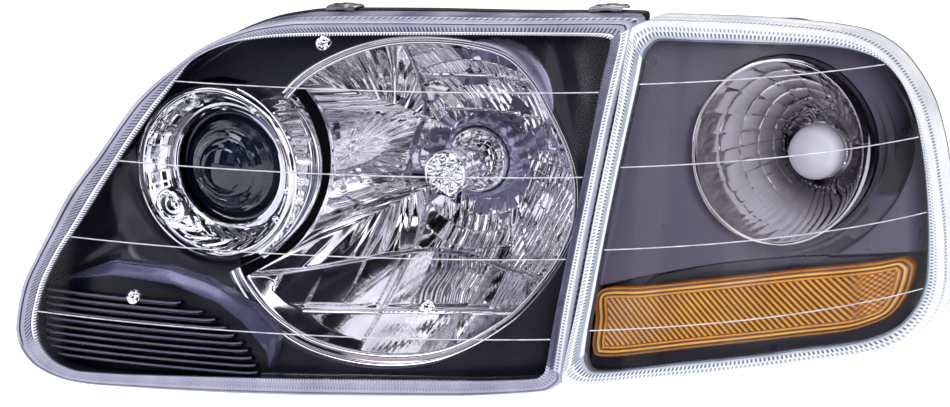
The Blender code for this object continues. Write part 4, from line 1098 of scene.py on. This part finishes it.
def tray_painted_shade(x, z):
    r = np.hypot(x - TURN[0], z - TURN[1])
    a = np.arctan2(z - TURN[1], x - TURN[0])
    g = r - reach(S_BOWL, TURN, a)
    side = bump((a + 0.35) / 1.45)
    # Painted shadow: the stepped pocket beside the bowl on its right and lower side, and on the bowl's outer wall.
    dark = side * sstep((g - 1.0) / 4.0) * (1 - sstep((g - 16.5) / 2.0))
    dark = np.maximum(dark, side * sstep((6.0 - g) / 5.0) * 0.9)
    # Darker below the crease.
    under = sstep((-50.0 + 1.2 * np.sin((x - 61) / 136 * math.pi) * 8 - z) / 3.0)
    return 0.86 - 0.80 * dark - 0.32 * under * (1 - dark)


rs = [ring(CC, qa, he, tray_off(CC[0] + he * np.cos(qa), CC[1] + he * np.sin(qa)) + 2.4)]
for k in np.linspace(0.0, 1, 90):
    r = he + (cw - 1.0 - he) * k
    x, z = CC[0] + r * np.cos(qa), CC[1] + r * np.sin(qa)
    rs.append(ring(CC, qa, r, tray_off(x, z)))
xw, zw = CC[0] + cw * np.cos(qa), CC[1] + cw * np.sin(qa)
lip = 5.0 + 3.6 * steep(xw)
wall_off = tray_off(xw, zw)
for g, dr in ((0.06, -0.4), (0.2, 0.0), (0.6, 0.0), (1.0, 0.1)):
    rs.append(ring(CC, qa, cw + dr, wall_off + (lip - wall_off) * g))
rs.append(ring(CC, qa, cw + 0.8, lip))
rs.append(ring(CC, qa, cw + 0.8, wall_off + 2.4))
r = 0.5 * (he + cw)
rs.append(ring(CC, qa, r, tray_off(CC[0] + r * np.cos(qa), CC[1] + r * np.sin(qa)) + 3.2))
v, f = loops(rs, wrap=True)
make("bezel_tray_corner", v, f, M["slate"], "corner_lamp", "corner_bezel", sharp=35, painted_light=tray_painted_shade(v[:, 0], v[:, 2]))

# bowl: facets in rows on the left and top, flutes at the lower right
TURN_Y = 187.0
ex, ez = TURN[0] + br * np.cos(ta), TURN[1] + br * np.sin(ta)
cedge = lens_y(ex, ez, 8.0 + 2.6 * steep(ex))
rs = []
rng = np.random.default_rng(5)
wob = rng.uniform(-1, 1, (40, 12, 3))
for off, g in ((20.0, 2.4), (12.0, 2.4), (8.6, 2.2), (7.9, 1.6), (7.7, 0.8), (7.9, 0.2)):
    x = TURN[0] + br * np.cos(ta)
    rs.append(ring_y(TURN, ta, br + g, lens_y(TURN[0] + (br + g) * np.cos(ta), TURN[1] + (br + g) * np.sin(ta), off + 2.6 * steep(x))))
for k in np.linspace(1.0, 0.0, 110):
    q = 17.0 + (br - 17.0) * k
    y = TURN_Y - (TURN_Y - cedge) * (0.45 * k + 0.55 * k * k)
    lit = sstep(2.2 * bump(((ta - 2.75 + math.pi) % TAU - math.pi) / 2.0))
    ci = (ta / TAU * 26).astype(int)
    ri = int(min(k * 6.0, 5))
    u, w_ = (ta / TAU * 26) % 1.0 - 0.5, (k * 6.0) % 1.0 - 0.5
    pillow = 1.9 * (u * u + w_ * w_) + 1.1 * wob[ci % 40, ri, 0] * u + 1.1 * wob[ci % 40, ri, 1] * w_
    seam = np.maximum(np.abs(u), np.full_like(u, abs(w_)))
    d = lit * (pillow * 1.5 + 0.8 * sstep((seam - 0.44) / 0.05))
    d -= (1 - lit) * 1.5 * np.abs(np.sin(ta * 24 + 1.4 * np.sin(k * 7) + 0.8 * np.sin(ta * 9))) * sstep(k / 0.2)
    fade = sstep((1 - k) / 0.06) * sstep(k / 0.08)
    rs.append(ring_y(TURN, ta, q, y + d * fade))
for k in (0.0, 0.25, 0.5, 0.78):
    q = 17.0 + (br - 17.0) * k + (1.6 if k else 0.0)
    y = TURN_Y - (TURN_Y - cedge) * (0.45 * k + 0.55 * k * k) + 4.5
    rs.append(ring_y(TURN, ta, q, y))
v, f = loops(rs, wrap=True)
make("corner_bowl", v, f, M["bowl"], "corner_lamp", "corner_reflector", sharp=28)

# white cap on the turn signal bulb
v, f = turned(TURN, [(0, 160.6), (3.0, 160.8), (7.0, 161.3), (11.0, 162.2), (14.0, 163.6), (15.6, 165.8), (16.2, 168.6), (16.4, 172.0),
                     (16.4, 177.0), (16.0, 178.0), (15.0, 178.0), (14.8, 171.5), (13.5, 167.2), (8.5, 164.6), (0, 163.6)], 96)
make("bulb_cap_dome", v, f, M["opal"], "turn_holder", "bulb_cap", sharp=50)
v, f = turned(TURN, [(15.2, 178.6), (17.0, 178.4), (17.6, 179.4), (17.3, 183.5), (16.9, 188.4), (15.6, 188.4)], 96, 0)
make("bulb_cap_collar", v, f, M["chrome"], "corner_lamp", sharp=35)

# amber reflex: a framed field of prisms
p, _ = resample(S_REFLEX, 800)
cx, cz = 131.0, -71.5
flat = 3.2


def reflex_y(x, z):
    return lens_y(x, z, 15.0)


ra, _ = round_angles(S_REFLEX, (cx, cz), 900)
er = reach(S_REFLEX, (cx, cz), ra)
rings, painted_light = [], []
px, pz = cx + er * np.cos(ra), cz + er * np.sin(ra)
tang = np.gradient(np.stack([px, pz], 1), axis=0)
tang /= np.linalg.norm(tang, axis=1)[:, None]
nx, nz = tang[:, 1], -tang[:, 0]
if (nx * (px - cx) + nz * (pz - cz)).mean() < 0:
    nx, nz = -nx, -nz
# Frame rows: inset, lens offset and painted shade, darker in the grooves and painted highlights on the ridges.
FRAME_ROWS = [(0.0, 22.0, 0.35), (0.0, 16.0, 0.45), (0.25, 15.1, 0.62), (0.9, 14.7, 0.66), (1.3, 14.9, 0.30), (1.6, 15.3, 0.12), (2.0, 15.3, 0.12),
              (2.3, 14.8, 0.55), (2.9, 14.5, 0.95), (3.6, 14.6, 0.88), (4.0, 15.2, 0.15), (4.5, 15.3, 0.12), (4.9, 14.9, 0.62), (5.5, 14.7, 0.86),
              (6.0, 14.9, 0.70), (6.4, 15.5, 0.30)]
for inset, off, shade in FRAME_ROWS:
    x, z = px - nx * inset, pz - nz * inset
    rings.append(np.stack([x, lens_y(x, z, off), z], 1))
    painted_light.append(np.full(len(x), shade))
x, z = px - nx * 2.0, pz - nz * 2.0
rings.append(np.stack([x, lens_y(x, z, 22.5), z], 1))
painted_light.append(np.full(len(x), 0.3))
v, f = loops(rings, wrap=True)
make("reflex_frame", v, f, M["amber"], "corner_lamp", "amber_reflex", sharp=50, painted_light=np.concatenate(painted_light))

# the field inside the frame: grid of prisms between the inset edges
inner = np.stack([px - nx * 6.5, pz - nz * 6.5], 1)
NX, NZ = 560, 120
x_lo, x_hi = inner[:, 0].min() + 0.05, inner[:, 0].max() - 0.05
xs = np.linspace(x_lo, x_hi, NX)
low_z, high_z = np.empty(NX), np.empty(NX)
for i, x in enumerate(xs):
    pp, qq = inner, np.roll(inner, -1, 0)
    hit = (pp[:, 0] - x) * (qq[:, 0] - x) <= 0
    dxx = np.where(np.abs(qq[hit, 0] - pp[hit, 0]) < 1e-9, 1e-9, qq[hit, 0] - pp[hit, 0])
    zz = pp[hit, 1] + (qq[hit, 1] - pp[hit, 1]) * (x - pp[hit, 0]) / dxx
    low_z[i], high_z[i] = zz.min(), zz.max()
gx = np.repeat(xs[:, None], NZ, 1)
gz = low_z[:, None] + (high_z - low_z)[:, None] * np.linspace(0, 1, NZ)[None, :]
u = gx / 2.7 + gz / 3.9
w_ = -gx / 6.2 + gz / 2.2
groove = np.minimum(tri(u), 1) * 0.75 + 0.25 * tri(w_)
dotted = sstep((gx - 176.0) / 10.0)
dots = 0.5 + 0.5 * np.sin(gx * TAU / 3.2) * np.sin(gz * TAU / 3.2)
hatch = tri(u)
dia = sstep((0.30 - hatch) / 0.18) * sstep((0.62 - tri(w_)) / 0.3)
# Painted highlights on the raised prism faces, painted shade on the lower ones and in the diamond dips.
shade = 0.30 + 0.55 * sstep((hatch - 0.35) / 0.35) - 0.26 * dia
shade = shade * (1 - dotted) + (0.25 + 0.65 * dots) * dotted
height = (0.7 * (hatch * (1 - dotted) + dots * dotted))
front = np.stack([gx, lens_y(gx, gz, 16.1 - height), gz], 2)
back = np.stack([gx, lens_y(gx, gz, 19.0), gz], 2)
v = np.vstack([front.reshape(-1, 3), back.reshape(-1, 3)])
idx = np.arange(NX * NZ).reshape(NX, NZ)
q1 = np.stack([idx[:-1, :-1], idx[1:, :-1], idx[1:, 1:], idx[:-1, 1:]], 2).reshape(-1, 4)
fs = q1.tolist() + (q1[:, ::-1] + NX * NZ).tolist()
edge_loop = list(idx[:, 0]) + list(idx[-1, 1:]) + list(idx[-2::-1, -1]) + list(idx[0, -2:0:-1])
for i in range(len(edge_loop)):
    p0, p1 = edge_loop[i], edge_loop[(i + 1) % len(edge_loop)]
    fs.append((p1, p0, p0 + NX * NZ, p1 + NX * NZ))
make("reflex_prisms", v, fs, M["amber"], "corner_lamp", sharp=25,
     painted_light=np.concatenate([shade.ravel(), np.full(NX * NZ, 0.3)]))

# --------------------------------------------------------------------- rear
def soft(profile, r=0.8):
    """The same profile with each corner turned into a small round."""
    rows = [tuple(p) + (0.0,) * (3 - len(p)) for p in profile]
    out = [rows[0]]
    for k in range(1, len(rows) - 1):
        p, q, w = np.array(rows[k - 1]), np.array(rows[k]), np.array(rows[k + 1])
        a_, b_ = np.linalg.norm((p - q)[:2]), np.linalg.norm((w - q)[:2])
        ra_, rb_ = min(r, 0.4 * a_), min(r, 0.4 * b_)
        p1, p2 = q + (p - q) / max(a_, 1e-9) * ra_, q + (w - q) / max(b_, 1e-9) * rb_
        for t in (0.0, 0.33, 0.67, 1.0):
            out.append(tuple((1 - t) ** 2 * p1 + 2 * t * (1 - t) * q + t * t * p2))
    out.append(rows[-1])
    return [(max(x, 0.0), y, l) for x, y, l in out]


def lowered(p, top, off):
    """Keeps the shell under a plane that falls away from the top of the flange."""
    q = p.copy()
    lim = top - 0.17 * np.maximum(p[:, 1] - lens_y(p[:, 0], np.full(len(p), top), off), 0)
    q[:, 2] = np.minimum(q[:, 2], lim)
    return q


hb = reach(S_HEADB, HC, ba)
flat_r = 0.90 * hb - 14.0
arc = np.arange(NB) / NB
rs = [ring_y(HC, ba, flat_r * k, WALL_Y) for k in (0.25, 0.5, 0.75, 0.95)]
for q in np.linspace(0, 1, 8):
    rs.append(ring_y(HC, ba, flat_r + 14.0 * math.sin(q * math.pi / 2), WALL_Y - 18.0 * (1 - math.cos(q * math.pi / 2))))
x38, z38 = HC[0] + (hb - 0.6) * np.cos(ba), HC[1] + (hb - 0.6) * np.sin(ba)
y38 = lens_y(x38, z38, 39.0)
rib_r = 1.5 * square(arc * 44, 0.16, 0.03)
for g in np.linspace(0.04, 1.0, 12):
    r = 0.90 * hb + (hb - 0.6 - 0.90 * hb) * g ** 1.2
    rs.append(ring_y(HC, ba, r + rib_r * sstep(g / 0.15) * sstep((1 - g) / 0.05) * (1 if 0.05 < g < 0.99 else 0), (WALL_Y - 18) + (y38 - (WALL_Y - 18)) * g))
rs = [lowered(p, 100.5, 39.0) for p in rs]
for dr, off in ((0.8, 38.2), (1.3, 37.6), (1.5, 37.0), (1.5, 31.0), (1.3, 30.5), (0.9, 30.3), (0.8, 32.6), (-3.8, 32.6)):
    rs.append(ring(HC, ba, hb + dr, off))
rs += [lowered(ring_y(HC, ba, 0.90 * hb - 3.0, WALL_Y - 19.0), 98.5, 39.0), lowered(ring_y(HC, ba, flat_r - 2.4, WALL_Y - 3.0), 98.5, 39.0)]
shell = loops(rs, (HC[0], WALL_Y, HC[1]), (HC[0], WALL_Y - 3.0, HC[1]))
parts = [shell]
for spot in ((-75.0, 67.5), (-200.0, -70.0), (9.0, -70.0)):
    parts.append(turned(spot, soft([(0, 149.0), (13.0, 149.0), (11.0, 152.0), (10.0, 156.0), (9.5, 175.0), (2.7, 175.0), (2.7, 158.0), (0, 158.0)], 0.7), 64))
    for k in range(4):
        t = k * math.pi / 2 + 0.4
        d = np.array([math.cos(t), math.sin(t)])
        e = np.array([-d[1], d[0]]) * 0.9
        sec = []
        for out_r, yy in ((9.0, 170.0), (9.0, 149.0), (19.0, 149.0), (18.0, 151.0), (11.5, 168.0)):
            sec.append((out_r, yy))
        rings = [np.array([(spot[0] + d[0] * rr + e[0] * m, yy, spot[1] + d[1] * rr + e[1] * m) for rr, yy in sec]) for m in (-1, 1)]
        parts.append(loops(rings, caps=True))
for mid, rad in ((MAIN, 58.4), (PROJ, 40.4)):
    parts.append(turned(mid, soft([(rad, 149.0), (rad, 154.0), (rad + 2.2, 154.0), (rad + 2.4, 149.0)], 0.6), 160))
for spot, rad in ((VERT, 14.5), (HORI, 14.5), ((-60.0, -68.0), 9.2), ((-216.0, -40.0), 9.2), (PIVOT, 7.0)):
    parts.append(turned(spot, soft([(rad, 149.0), (rad, 152.4), (rad + 1.8, 152.4), (rad + 2.2, 149.0)], 0.5), 72))


def wall_rib(x0, z0, x1, z1, tall=3.0, half=0.9):
    d = np.array([x1 - x0, z1 - z0])
    e = np.array([-d[1], d[0]]) / np.linalg.norm(d)
    rings = []
    for t in (0.0, 0.03, 0.97, 1.0):
        p = np.array([x0, z0]) + d * t
        h = 149.6 + (tall if 0 < t < 1 else 0.4)
        rings.append(np.array([(p[0] - e[0] * half * 1.2, 149.2, p[1] - e[1] * half * 1.2), (p[0] - e[0] * half, h - 0.3, p[1] - e[1] * half),
                               (p[0], h, p[1]), (p[0] + e[0] * half, h - 0.3, p[1] + e[1] * half),
                               (p[0] + e[0] * half * 1.2, 149.2, p[1] + e[1] * half * 1.2)]))
    return loops(rings, caps=True)


for line in ((-104, -20, -126, -12), (-100, -36, -140, -40), (-92, -48, -118, -86), (-70, -62, -96, -92), (-30, -64, -30, -88), (-14, -60, 4, -82),
             (16, -30, 32, -44), (20, 0, 34, 0), (18, 24, 34, 40), (0, 52, 12, 74), (-44, 66, -44, 84), (-90, 50, -96, 78), (-128, 32, -136, 56),
             (-140, 46, -128, 74), (-168, -40, -168, -84), (-186, -36, -206, -56), (-208, -8, -222, -14), (-206, 20, -212, 10), (-150, -42, -134, -62)):
    parts.append(wall_rib(*line))
v, f = joined(parts)
make("housing_shell_head", v, f, M["black"], "housing", "headlamp_housing", sharp=35)

cb = reach(S_CORNERB, CC, qa)
arc = np.arange(NC) / NC


def rear_y(p_r, off):
    x, z = CC[0] + p_r * np.cos(qa), CC[1] + p_r * np.sin(qa)
    return np.maximum(REAR, lens_y(x, z, off))


rs = [ring_y(CC, qa, cb * k, REAR) for k in (0.25, 0.45, 0.58)]
rs.append(ring_y(CC, qa, cb * 0.66, rear_y(cb * 0.66, 38.0)))
for k, off in ((0.76, 42.0), (0.84, 43.0), (0.88, 43.0), (0.90, 41.5)):
    rs.append(ring_y(CC, qa, cb * k, rear_y(cb * k, off) - (0.0 if k < 0.87 else 0.8 if k < 0.89 else 2.5)))
rib_r = 1.2 * square(arc * 30, 0.16, 0.03)
yb = rear_y(cb * 0.90, 41.5) - 2.5
xf, zf = CC[0] + (cb - 2.2) * np.cos(qa), CC[1] + (cb - 2.2) * np.sin(qa)
yf = lens_y(xf, zf, 28.5)
for g in np.linspace(0.1, 1, 9):
    r = 0.90 * cb + (cb - 2.2 - 0.90 * cb) * g
    rs.append(ring_y(CC, qa, r + rib_r * sstep(g / 0.2) * sstep((1 - g) / 0.1), yb + (yf - yb) * g))
rs = [lowered(p, 97.0, 29.0) for p in rs]
for dr, off in ((-0.4, 28.0), (0.4, 27.6), (0.5, 27.0), (0.5, 26.0), (0.3, 25.6), (-3.6, 25.6), (-3.6, 27.6)):
    rs.append(ring(CC, qa, cb + dr, off))
rs += [lowered(ring_y(CC, qa, 0.85 * cb, rear_y(0.85 * cb, 38.0) - 3.5), 93.5, 29.0), lowered(ring_y(CC, qa, 0.58 * cb, REAR - 3.0), 93.5, 29.0)]
shell = loops(rs, (CC[0], REAR, CC[1]), (CC[0], REAR - 3.0, CC[1]))
parts = [shell, turned(TURN, soft([(22.6, 204.0), (22.6, 208.0), (24.6, 208.0), (25.0, 204.0)], 0.5), 96)]
for spot in ((100.0, 20.0), (105.0, -60.0)):
    parts.append(turned(spot, soft([(7.4, 204.0), (7.4, 209.0), (9.4, 209.0), (10.0, 204.0)], 0.5), 64))
v, f = joined(parts)
make("housing_shell_corner", v, f, M["grey"], "corner_lamp", "corner_housing", sharp=35)

# service caps with gripped lobes
v, f = turned(MAIN, soft([(0, 166.4), (8.0, 166.4), (9.0, 167.4), (30.0, 167.4), (31.5, 168.4, 1.0), (38.0, 168.4, 2.5), (42.0, 166.0, 2.5), (45.5, 154.5, 0.6),
                          (57.0, 154.5), (57.0, 150.5), (49.4, 150.5), (49.0, 143.5), (46.0, 143.5), (46.0, 151.0), (42.5, 154.5), (39.0, 163.0), (0, 164.5)], 1.0), 240, 12)
grip = [(v, f)]
for t in (0.5, 0.5 + math.pi):
    d = np.array([math.cos(t), math.sin(t)])
e = np.array([-d[1], d[0]]) * 2.4
bar = [np.array([(MAIN[0] + d[0] * u + e[0] * m, y, MAIN[1] + d[1] * u + e[1] * m) for m, y in ((-1.3, 166.8), (-1.0, 173.2), (-0.5, 174.2), (0.5, 174.2), (1.0, 173.2), (1.3, 166.8))])
       for u in (-29.0, -28.2, 28.2, 29.0)]
grip.append(loops(bar, caps=True))
v, f = joined(grip)
make("service_cap_main", v, f, M["black"], "main_cap", "main_service_cap", sharp=35)
v, f = turned(PROJ, soft([(0, 162.6), (6.0, 162.6), (7.0, 163.4), (18.0, 163.4), (19.0, 164.2, 0.6), (23.0, 164.2, 2.0), (26.5, 162.0, 2.0), (29.5, 154.0, 0.4), (39.0, 154.0),
                          (39.0, 150.5), (32.4, 150.5), (32.0, 143.5), (29.0, 143.5), (29.0, 151.0), (25.5, 159.5), (0, 160.5)], 0.9), 200, 9)
grip = [(v, f)]
d = np.array([math.cos(1.2), math.sin(1.2)])
e = np.array([-d[1], d[0]]) * 2.0
bar = [np.array([(PROJ[0] + d[0] * u + e[0] * m, y, PROJ[1] + d[1] * u + e[1] * m) for m, y in ((-1.3, 162.8), (-1.0, 168.2), (-0.5, 169.0), (0.5, 169.0), (1.0, 168.2), (1.3, 162.8))])
       for u in (-17.0, -16.4, 16.4, 17.0)]
grip.append(loops(bar, caps=True))
v, f = joined(grip)
make("service_cap_aux", v, f, M["black"], "aux_cap", "aux_service_cap", sharp=35)
for tag, spot in (("vertical", VERT), ("horizontal", HORI)):
    v, f = turned(spot, soft([(3.4, 150.5), (12.5, 150.5, 0.9), (12.5, 160.0, 0.9), (7.5, 161.0), (6.5, 168.0), (3.4, 168.0)], 0.8), 162, 18)
    make(tag + "_knob_grip", v, f, M["nylon"], tag + "_knob", tag + "_adjuster_knob", sharp=35)
v, f = turned(TURN, soft([(0, 196.0), (15.6, 196.0), (15.6, 205.4), (15.6, 207.6), (21.5, 207.6, 1.6), (21.5, 213.0, 1.6), (13.0, 214.0), (12.0, 224.0), (10.0, 224.0),
                          (9.6, 217.0), (0, 217.0)], 0.7), 160, 8)
make("turn_socket_grip", v, f, M["grey"], "turn_holder", "turn_socket", sharp=35)


def strap(name, x0, z0, up, node):
    """A low spring clip, folded from strip, over the lens flange."""
    sec = [(0.3, 27.0), (1.2, 26.6), (2.2, 26.8), (2.8, 27.6), (3.0, 29.0), (3.0, 38.0), (2.6, 39.4), (1.6, 40.2), (0.4, 40.2), (0.4, 39.4), (1.4, 39.2),
           (2.0, 38.2), (2.0, 29.2), (1.6, 28.0), (0.9, 27.6), (0.3, 27.8)]
    rings = []
    for x in np.linspace(-8.5, 8.5, 18):
        pinch = 1.0 if abs(x) < 7.6 else 0.82
        rings.append(np.array([(x0 + x, float(lens_y(x0 + x, z0, off)), z0 + up * (zz * pinch + (0.5 if abs(x) < 3 else 0.0))) for zz, off in sec]))
    v, f = loops(rings, caps=True)
    make(name, v, f, M["steel"], "housing", node, sharp=40)


strap("clip_strap_1", -101.0, 101.6, 1, "lens_clip_1")
strap("clip_strap_2", 46.0, 103.2, 1, "lens_clip_2")
strap("clip_strap_3", -180.0, -116.4, -1, "lens_clip_3")
strap("clip_strap_4", -20.0, -111.8, -1, "lens_clip_4")

# ------------------------------------------------------------------ studio
def world():
    w = bpy.data.worlds.new("studio")
    bpy.context.scene.world = w
    w.use_nodes = True
    t = w.node_tree
    t.nodes.clear()
    N = lambda kind: t.nodes.new("ShaderNode" + kind)
    out, bg = N("OutputWorld"), N("Background")
    co = N("TexCoord")
    total = None

    def dot(vec):
        n = N("VectorMath")
        n.operation = "DOT_PRODUCT"
        n.inputs[1].default_value = vec
        t.links.new(co.outputs["Generated"], n.inputs[0])
        return n.outputs["Value"]

    def edge(value, lo, hi):
        n = N("MapRange")
        n.interpolation_type = "SMOOTHSTEP"
        n.inputs["From Min"].default_value = lo
        n.inputs["From Max"].default_value = hi
        t.links.new(value, n.inputs["Value"])
        return n.outputs["Result"]

    def times(a, b):
        n = N("Math")
        n.operation = "MULTIPLY"
        t.links.new(a, n.inputs[0])
        t.links.new(b, n.inputs[1])
        return n.outputs[0]

    base = N("MixRGB")
    up = dot((0, 0, 1))
    t.links.new(edge(up, -0.6, 0.8), base.inputs[0])
    base.inputs[1].default_value = lin(0.16, 0.14, 0.15)
    base.inputs[2].default_value = lin(0.06, 0.06, 0.11)
    total = base.outputs[0]
    for az, el, hw, hh, soft, colour, power in CARDS:
        A, E = math.radians(az), math.radians(el)
        d = Vector((math.sin(A) * math.cos(E), -math.cos(A) * math.cos(E), math.sin(E)))
        right = Vector((math.cos(A), math.sin(A), 0))
        upv = d.cross(right) * -1
        fx = dot(right)
        fz = dot(upv)
        parts = [edge(fx, -math.sin(math.radians(hw)) - soft, -math.sin(math.radians(hw)) + soft),
                 edge(fx, math.sin(math.radians(hw)) + soft, math.sin(math.radians(hw)) - soft),
                 edge(fz, -math.sin(math.radians(hh)) - soft, -math.sin(math.radians(hh)) + soft),
                 edge(fz, math.sin(math.radians(hh)) + soft, math.sin(math.radians(hh)) - soft),
                 edge(dot(d), 0.0, 0.1)]
        m = parts[0]
        for q in parts[1:]:
            m = times(m, q)
        mix = N("MixRGB")
        t.links.new(m, mix.inputs[0])
        t.links.new(total, mix.inputs[1])
        mix.inputs[2].default_value = tuple(c * power for c in colour[:3]) + (1,)
        total = mix.outputs[0]
    path = N("LightPath")
    soft = N("MixRGB")
    t.links.new(path.outputs["Is Diffuse Ray"], soft.inputs[0])
    t.links.new(total, soft.inputs[1])
    soft.inputs[2].default_value = (0.66, 0.66, 0.70, 1)
    last = N("MixRGB")
    t.links.new(path.outputs["Is Camera Ray"], last.inputs[0])
    t.links.new(soft.outputs[0], last.inputs[1])
    last.inputs[2].default_value = (0.98, 0.98, 0.99, 1)
    t.links.new(last.outputs[0], bg.inputs["Color"])
    bg.inputs["Strength"].default_value = 1.0
    t.links.new(bg.outputs[0], out.inputs["Surface"])


WHITE, BEIGE, LILAC, NIGHT = (1, 1, 1), (0.52, 0.43, 0.40), (0.30, 0.31, 0.46), (0.01, 0.01, 0.03)
CARDS = [
    # azimuth, elevation, half width, half height (degrees), softness, colour, power
    (25, 60, 30, 9, 0.02, WHITE, 2.2),
    (-38, 24, 6, 24, 0.015, WHITE, 2.2),
    (74, 14, 5, 24, 0.015, WHITE, 2.0),
    (18, -34, 24, 9, 0.02, BEIGE, 1.3),
    (-6, 18, 7, 12, 0.01, LILAC, 1.2),
    (40, 26, 5, 9, 0.01, WHITE, 2.4),
    (12, 2, 9, 5, 0.01, BEIGE, 1.1),
    (48, -8, 8, 6, 0.01, NIGHT, 1.0),
    (-70, 40, 6, 16, 0.02, WHITE, 1.8),
    (100, 40, 8, 12, 0.02, WHITE, 1.8),
    (14, 34, 4, 4, 0.01, BEIGE, 1.6),
    (52, 10, 3, 12, 0.01, WHITE, 1.8),
    (-14, -8, 4, 6, 0.01, WHITE, 1.6),
    (-30, -22, 9, 8, 0.015, LILAC, 1.3),
    (60, 45, 7, 8, 0.01, WHITE, 2.0),
]
world()


def lamp(name, az, el, dist, size, power, colour=(1, 1, 1), size_y=None):
    A, E = math.radians(az), math.radians(el)
    aim = Vector(((0 - O[0]) / 1000, (0 - O[1]) / 1000, (0 - O[2]) / 1000))
    d = Vector((math.sin(A) * math.cos(E), -math.cos(A) * math.cos(E), math.sin(E)))
    data = bpy.data.lights.new(name, "AREA")
    data.shape = "RECTANGLE"
    data.size, data.size_y = size, size_y or size
    data.energy = power
    data.color = colour
    o = bpy.data.objects.new(name, data)
    bpy.context.scene.collection.objects.link(o)
    o.location = aim + d * dist
    o.rotation_euler = d.to_track_quat("Z", "Y").to_euler()
    return o


lamp("key_light", -20, 58, 2.6, 1.2, 15)
lamp("fill_light", 75, 30, 2.8, 1.4, 7)
lamp("back_light", 190, 45, 2.6, 1.4, 14)
lamp("side_light", -95, 25, 2.6, 1.2, 6)

floor_z = before[0].z - 0.16
data = bpy.data.meshes.new("floor")
data.from_pydata([(-8, -8, floor_z), (8, -8, floor_z), (8, 8, floor_z), (-8, 8, floor_z)], [], [(0, 1, 2, 3)])
floor = bpy.data.objects.new("floor", data)
bpy.context.scene.collection.objects.link(floor)
data.materials.append(plastic("floor_look", [(0.3, lin(0.965, 0.965, 0.965)), (0.7, lin(0.975, 0.975, 0.975))], rough=(0.8, 0.9), grain=300,
                              depth=0.00001, cloud=2.0, spec=0.1))
glow = next(n for n in data.materials[0].node_tree.nodes if n.type == "BSDF_PRINCIPLED")
glow.inputs["Emission Color"].default_value = (1, 1, 1, 1)
glow.inputs["Emission Strength"].default_value = 0.3

A, E = math.radians(25.0), math.radians(12.5)
back = Vector((math.sin(A) * math.cos(E), -math.cos(A) * math.cos(E), math.sin(E)))
aim = Vector((0.075, -0.175, -0.0735))
cam = bpy.data.cameras.new("camera")
cam.sensor_width = 36.0
cam.lens = 143.74
cam.clip_start, cam.clip_end = 0.05, 50.0
eye = bpy.data.objects.new("camera", cam)
bpy.context.scene.collection.objects.link(eye)
right = Vector((math.cos(A), math.sin(A), 0.0))
up = back.cross(right)
spot = aim + back * 2.2
eye.matrix_world = Matrix(((right.x, up.x, back.x, spot.x), (right.y, up.y, back.y, spot.y), (right.z, up.z, back.z, spot.z), (0, 0, 0, 1)))
bpy.context.scene.camera = eye
bpy.context.scene.view_settings.view_transform = "Standard"
bpy.context.scene.view_settings.look = "None"
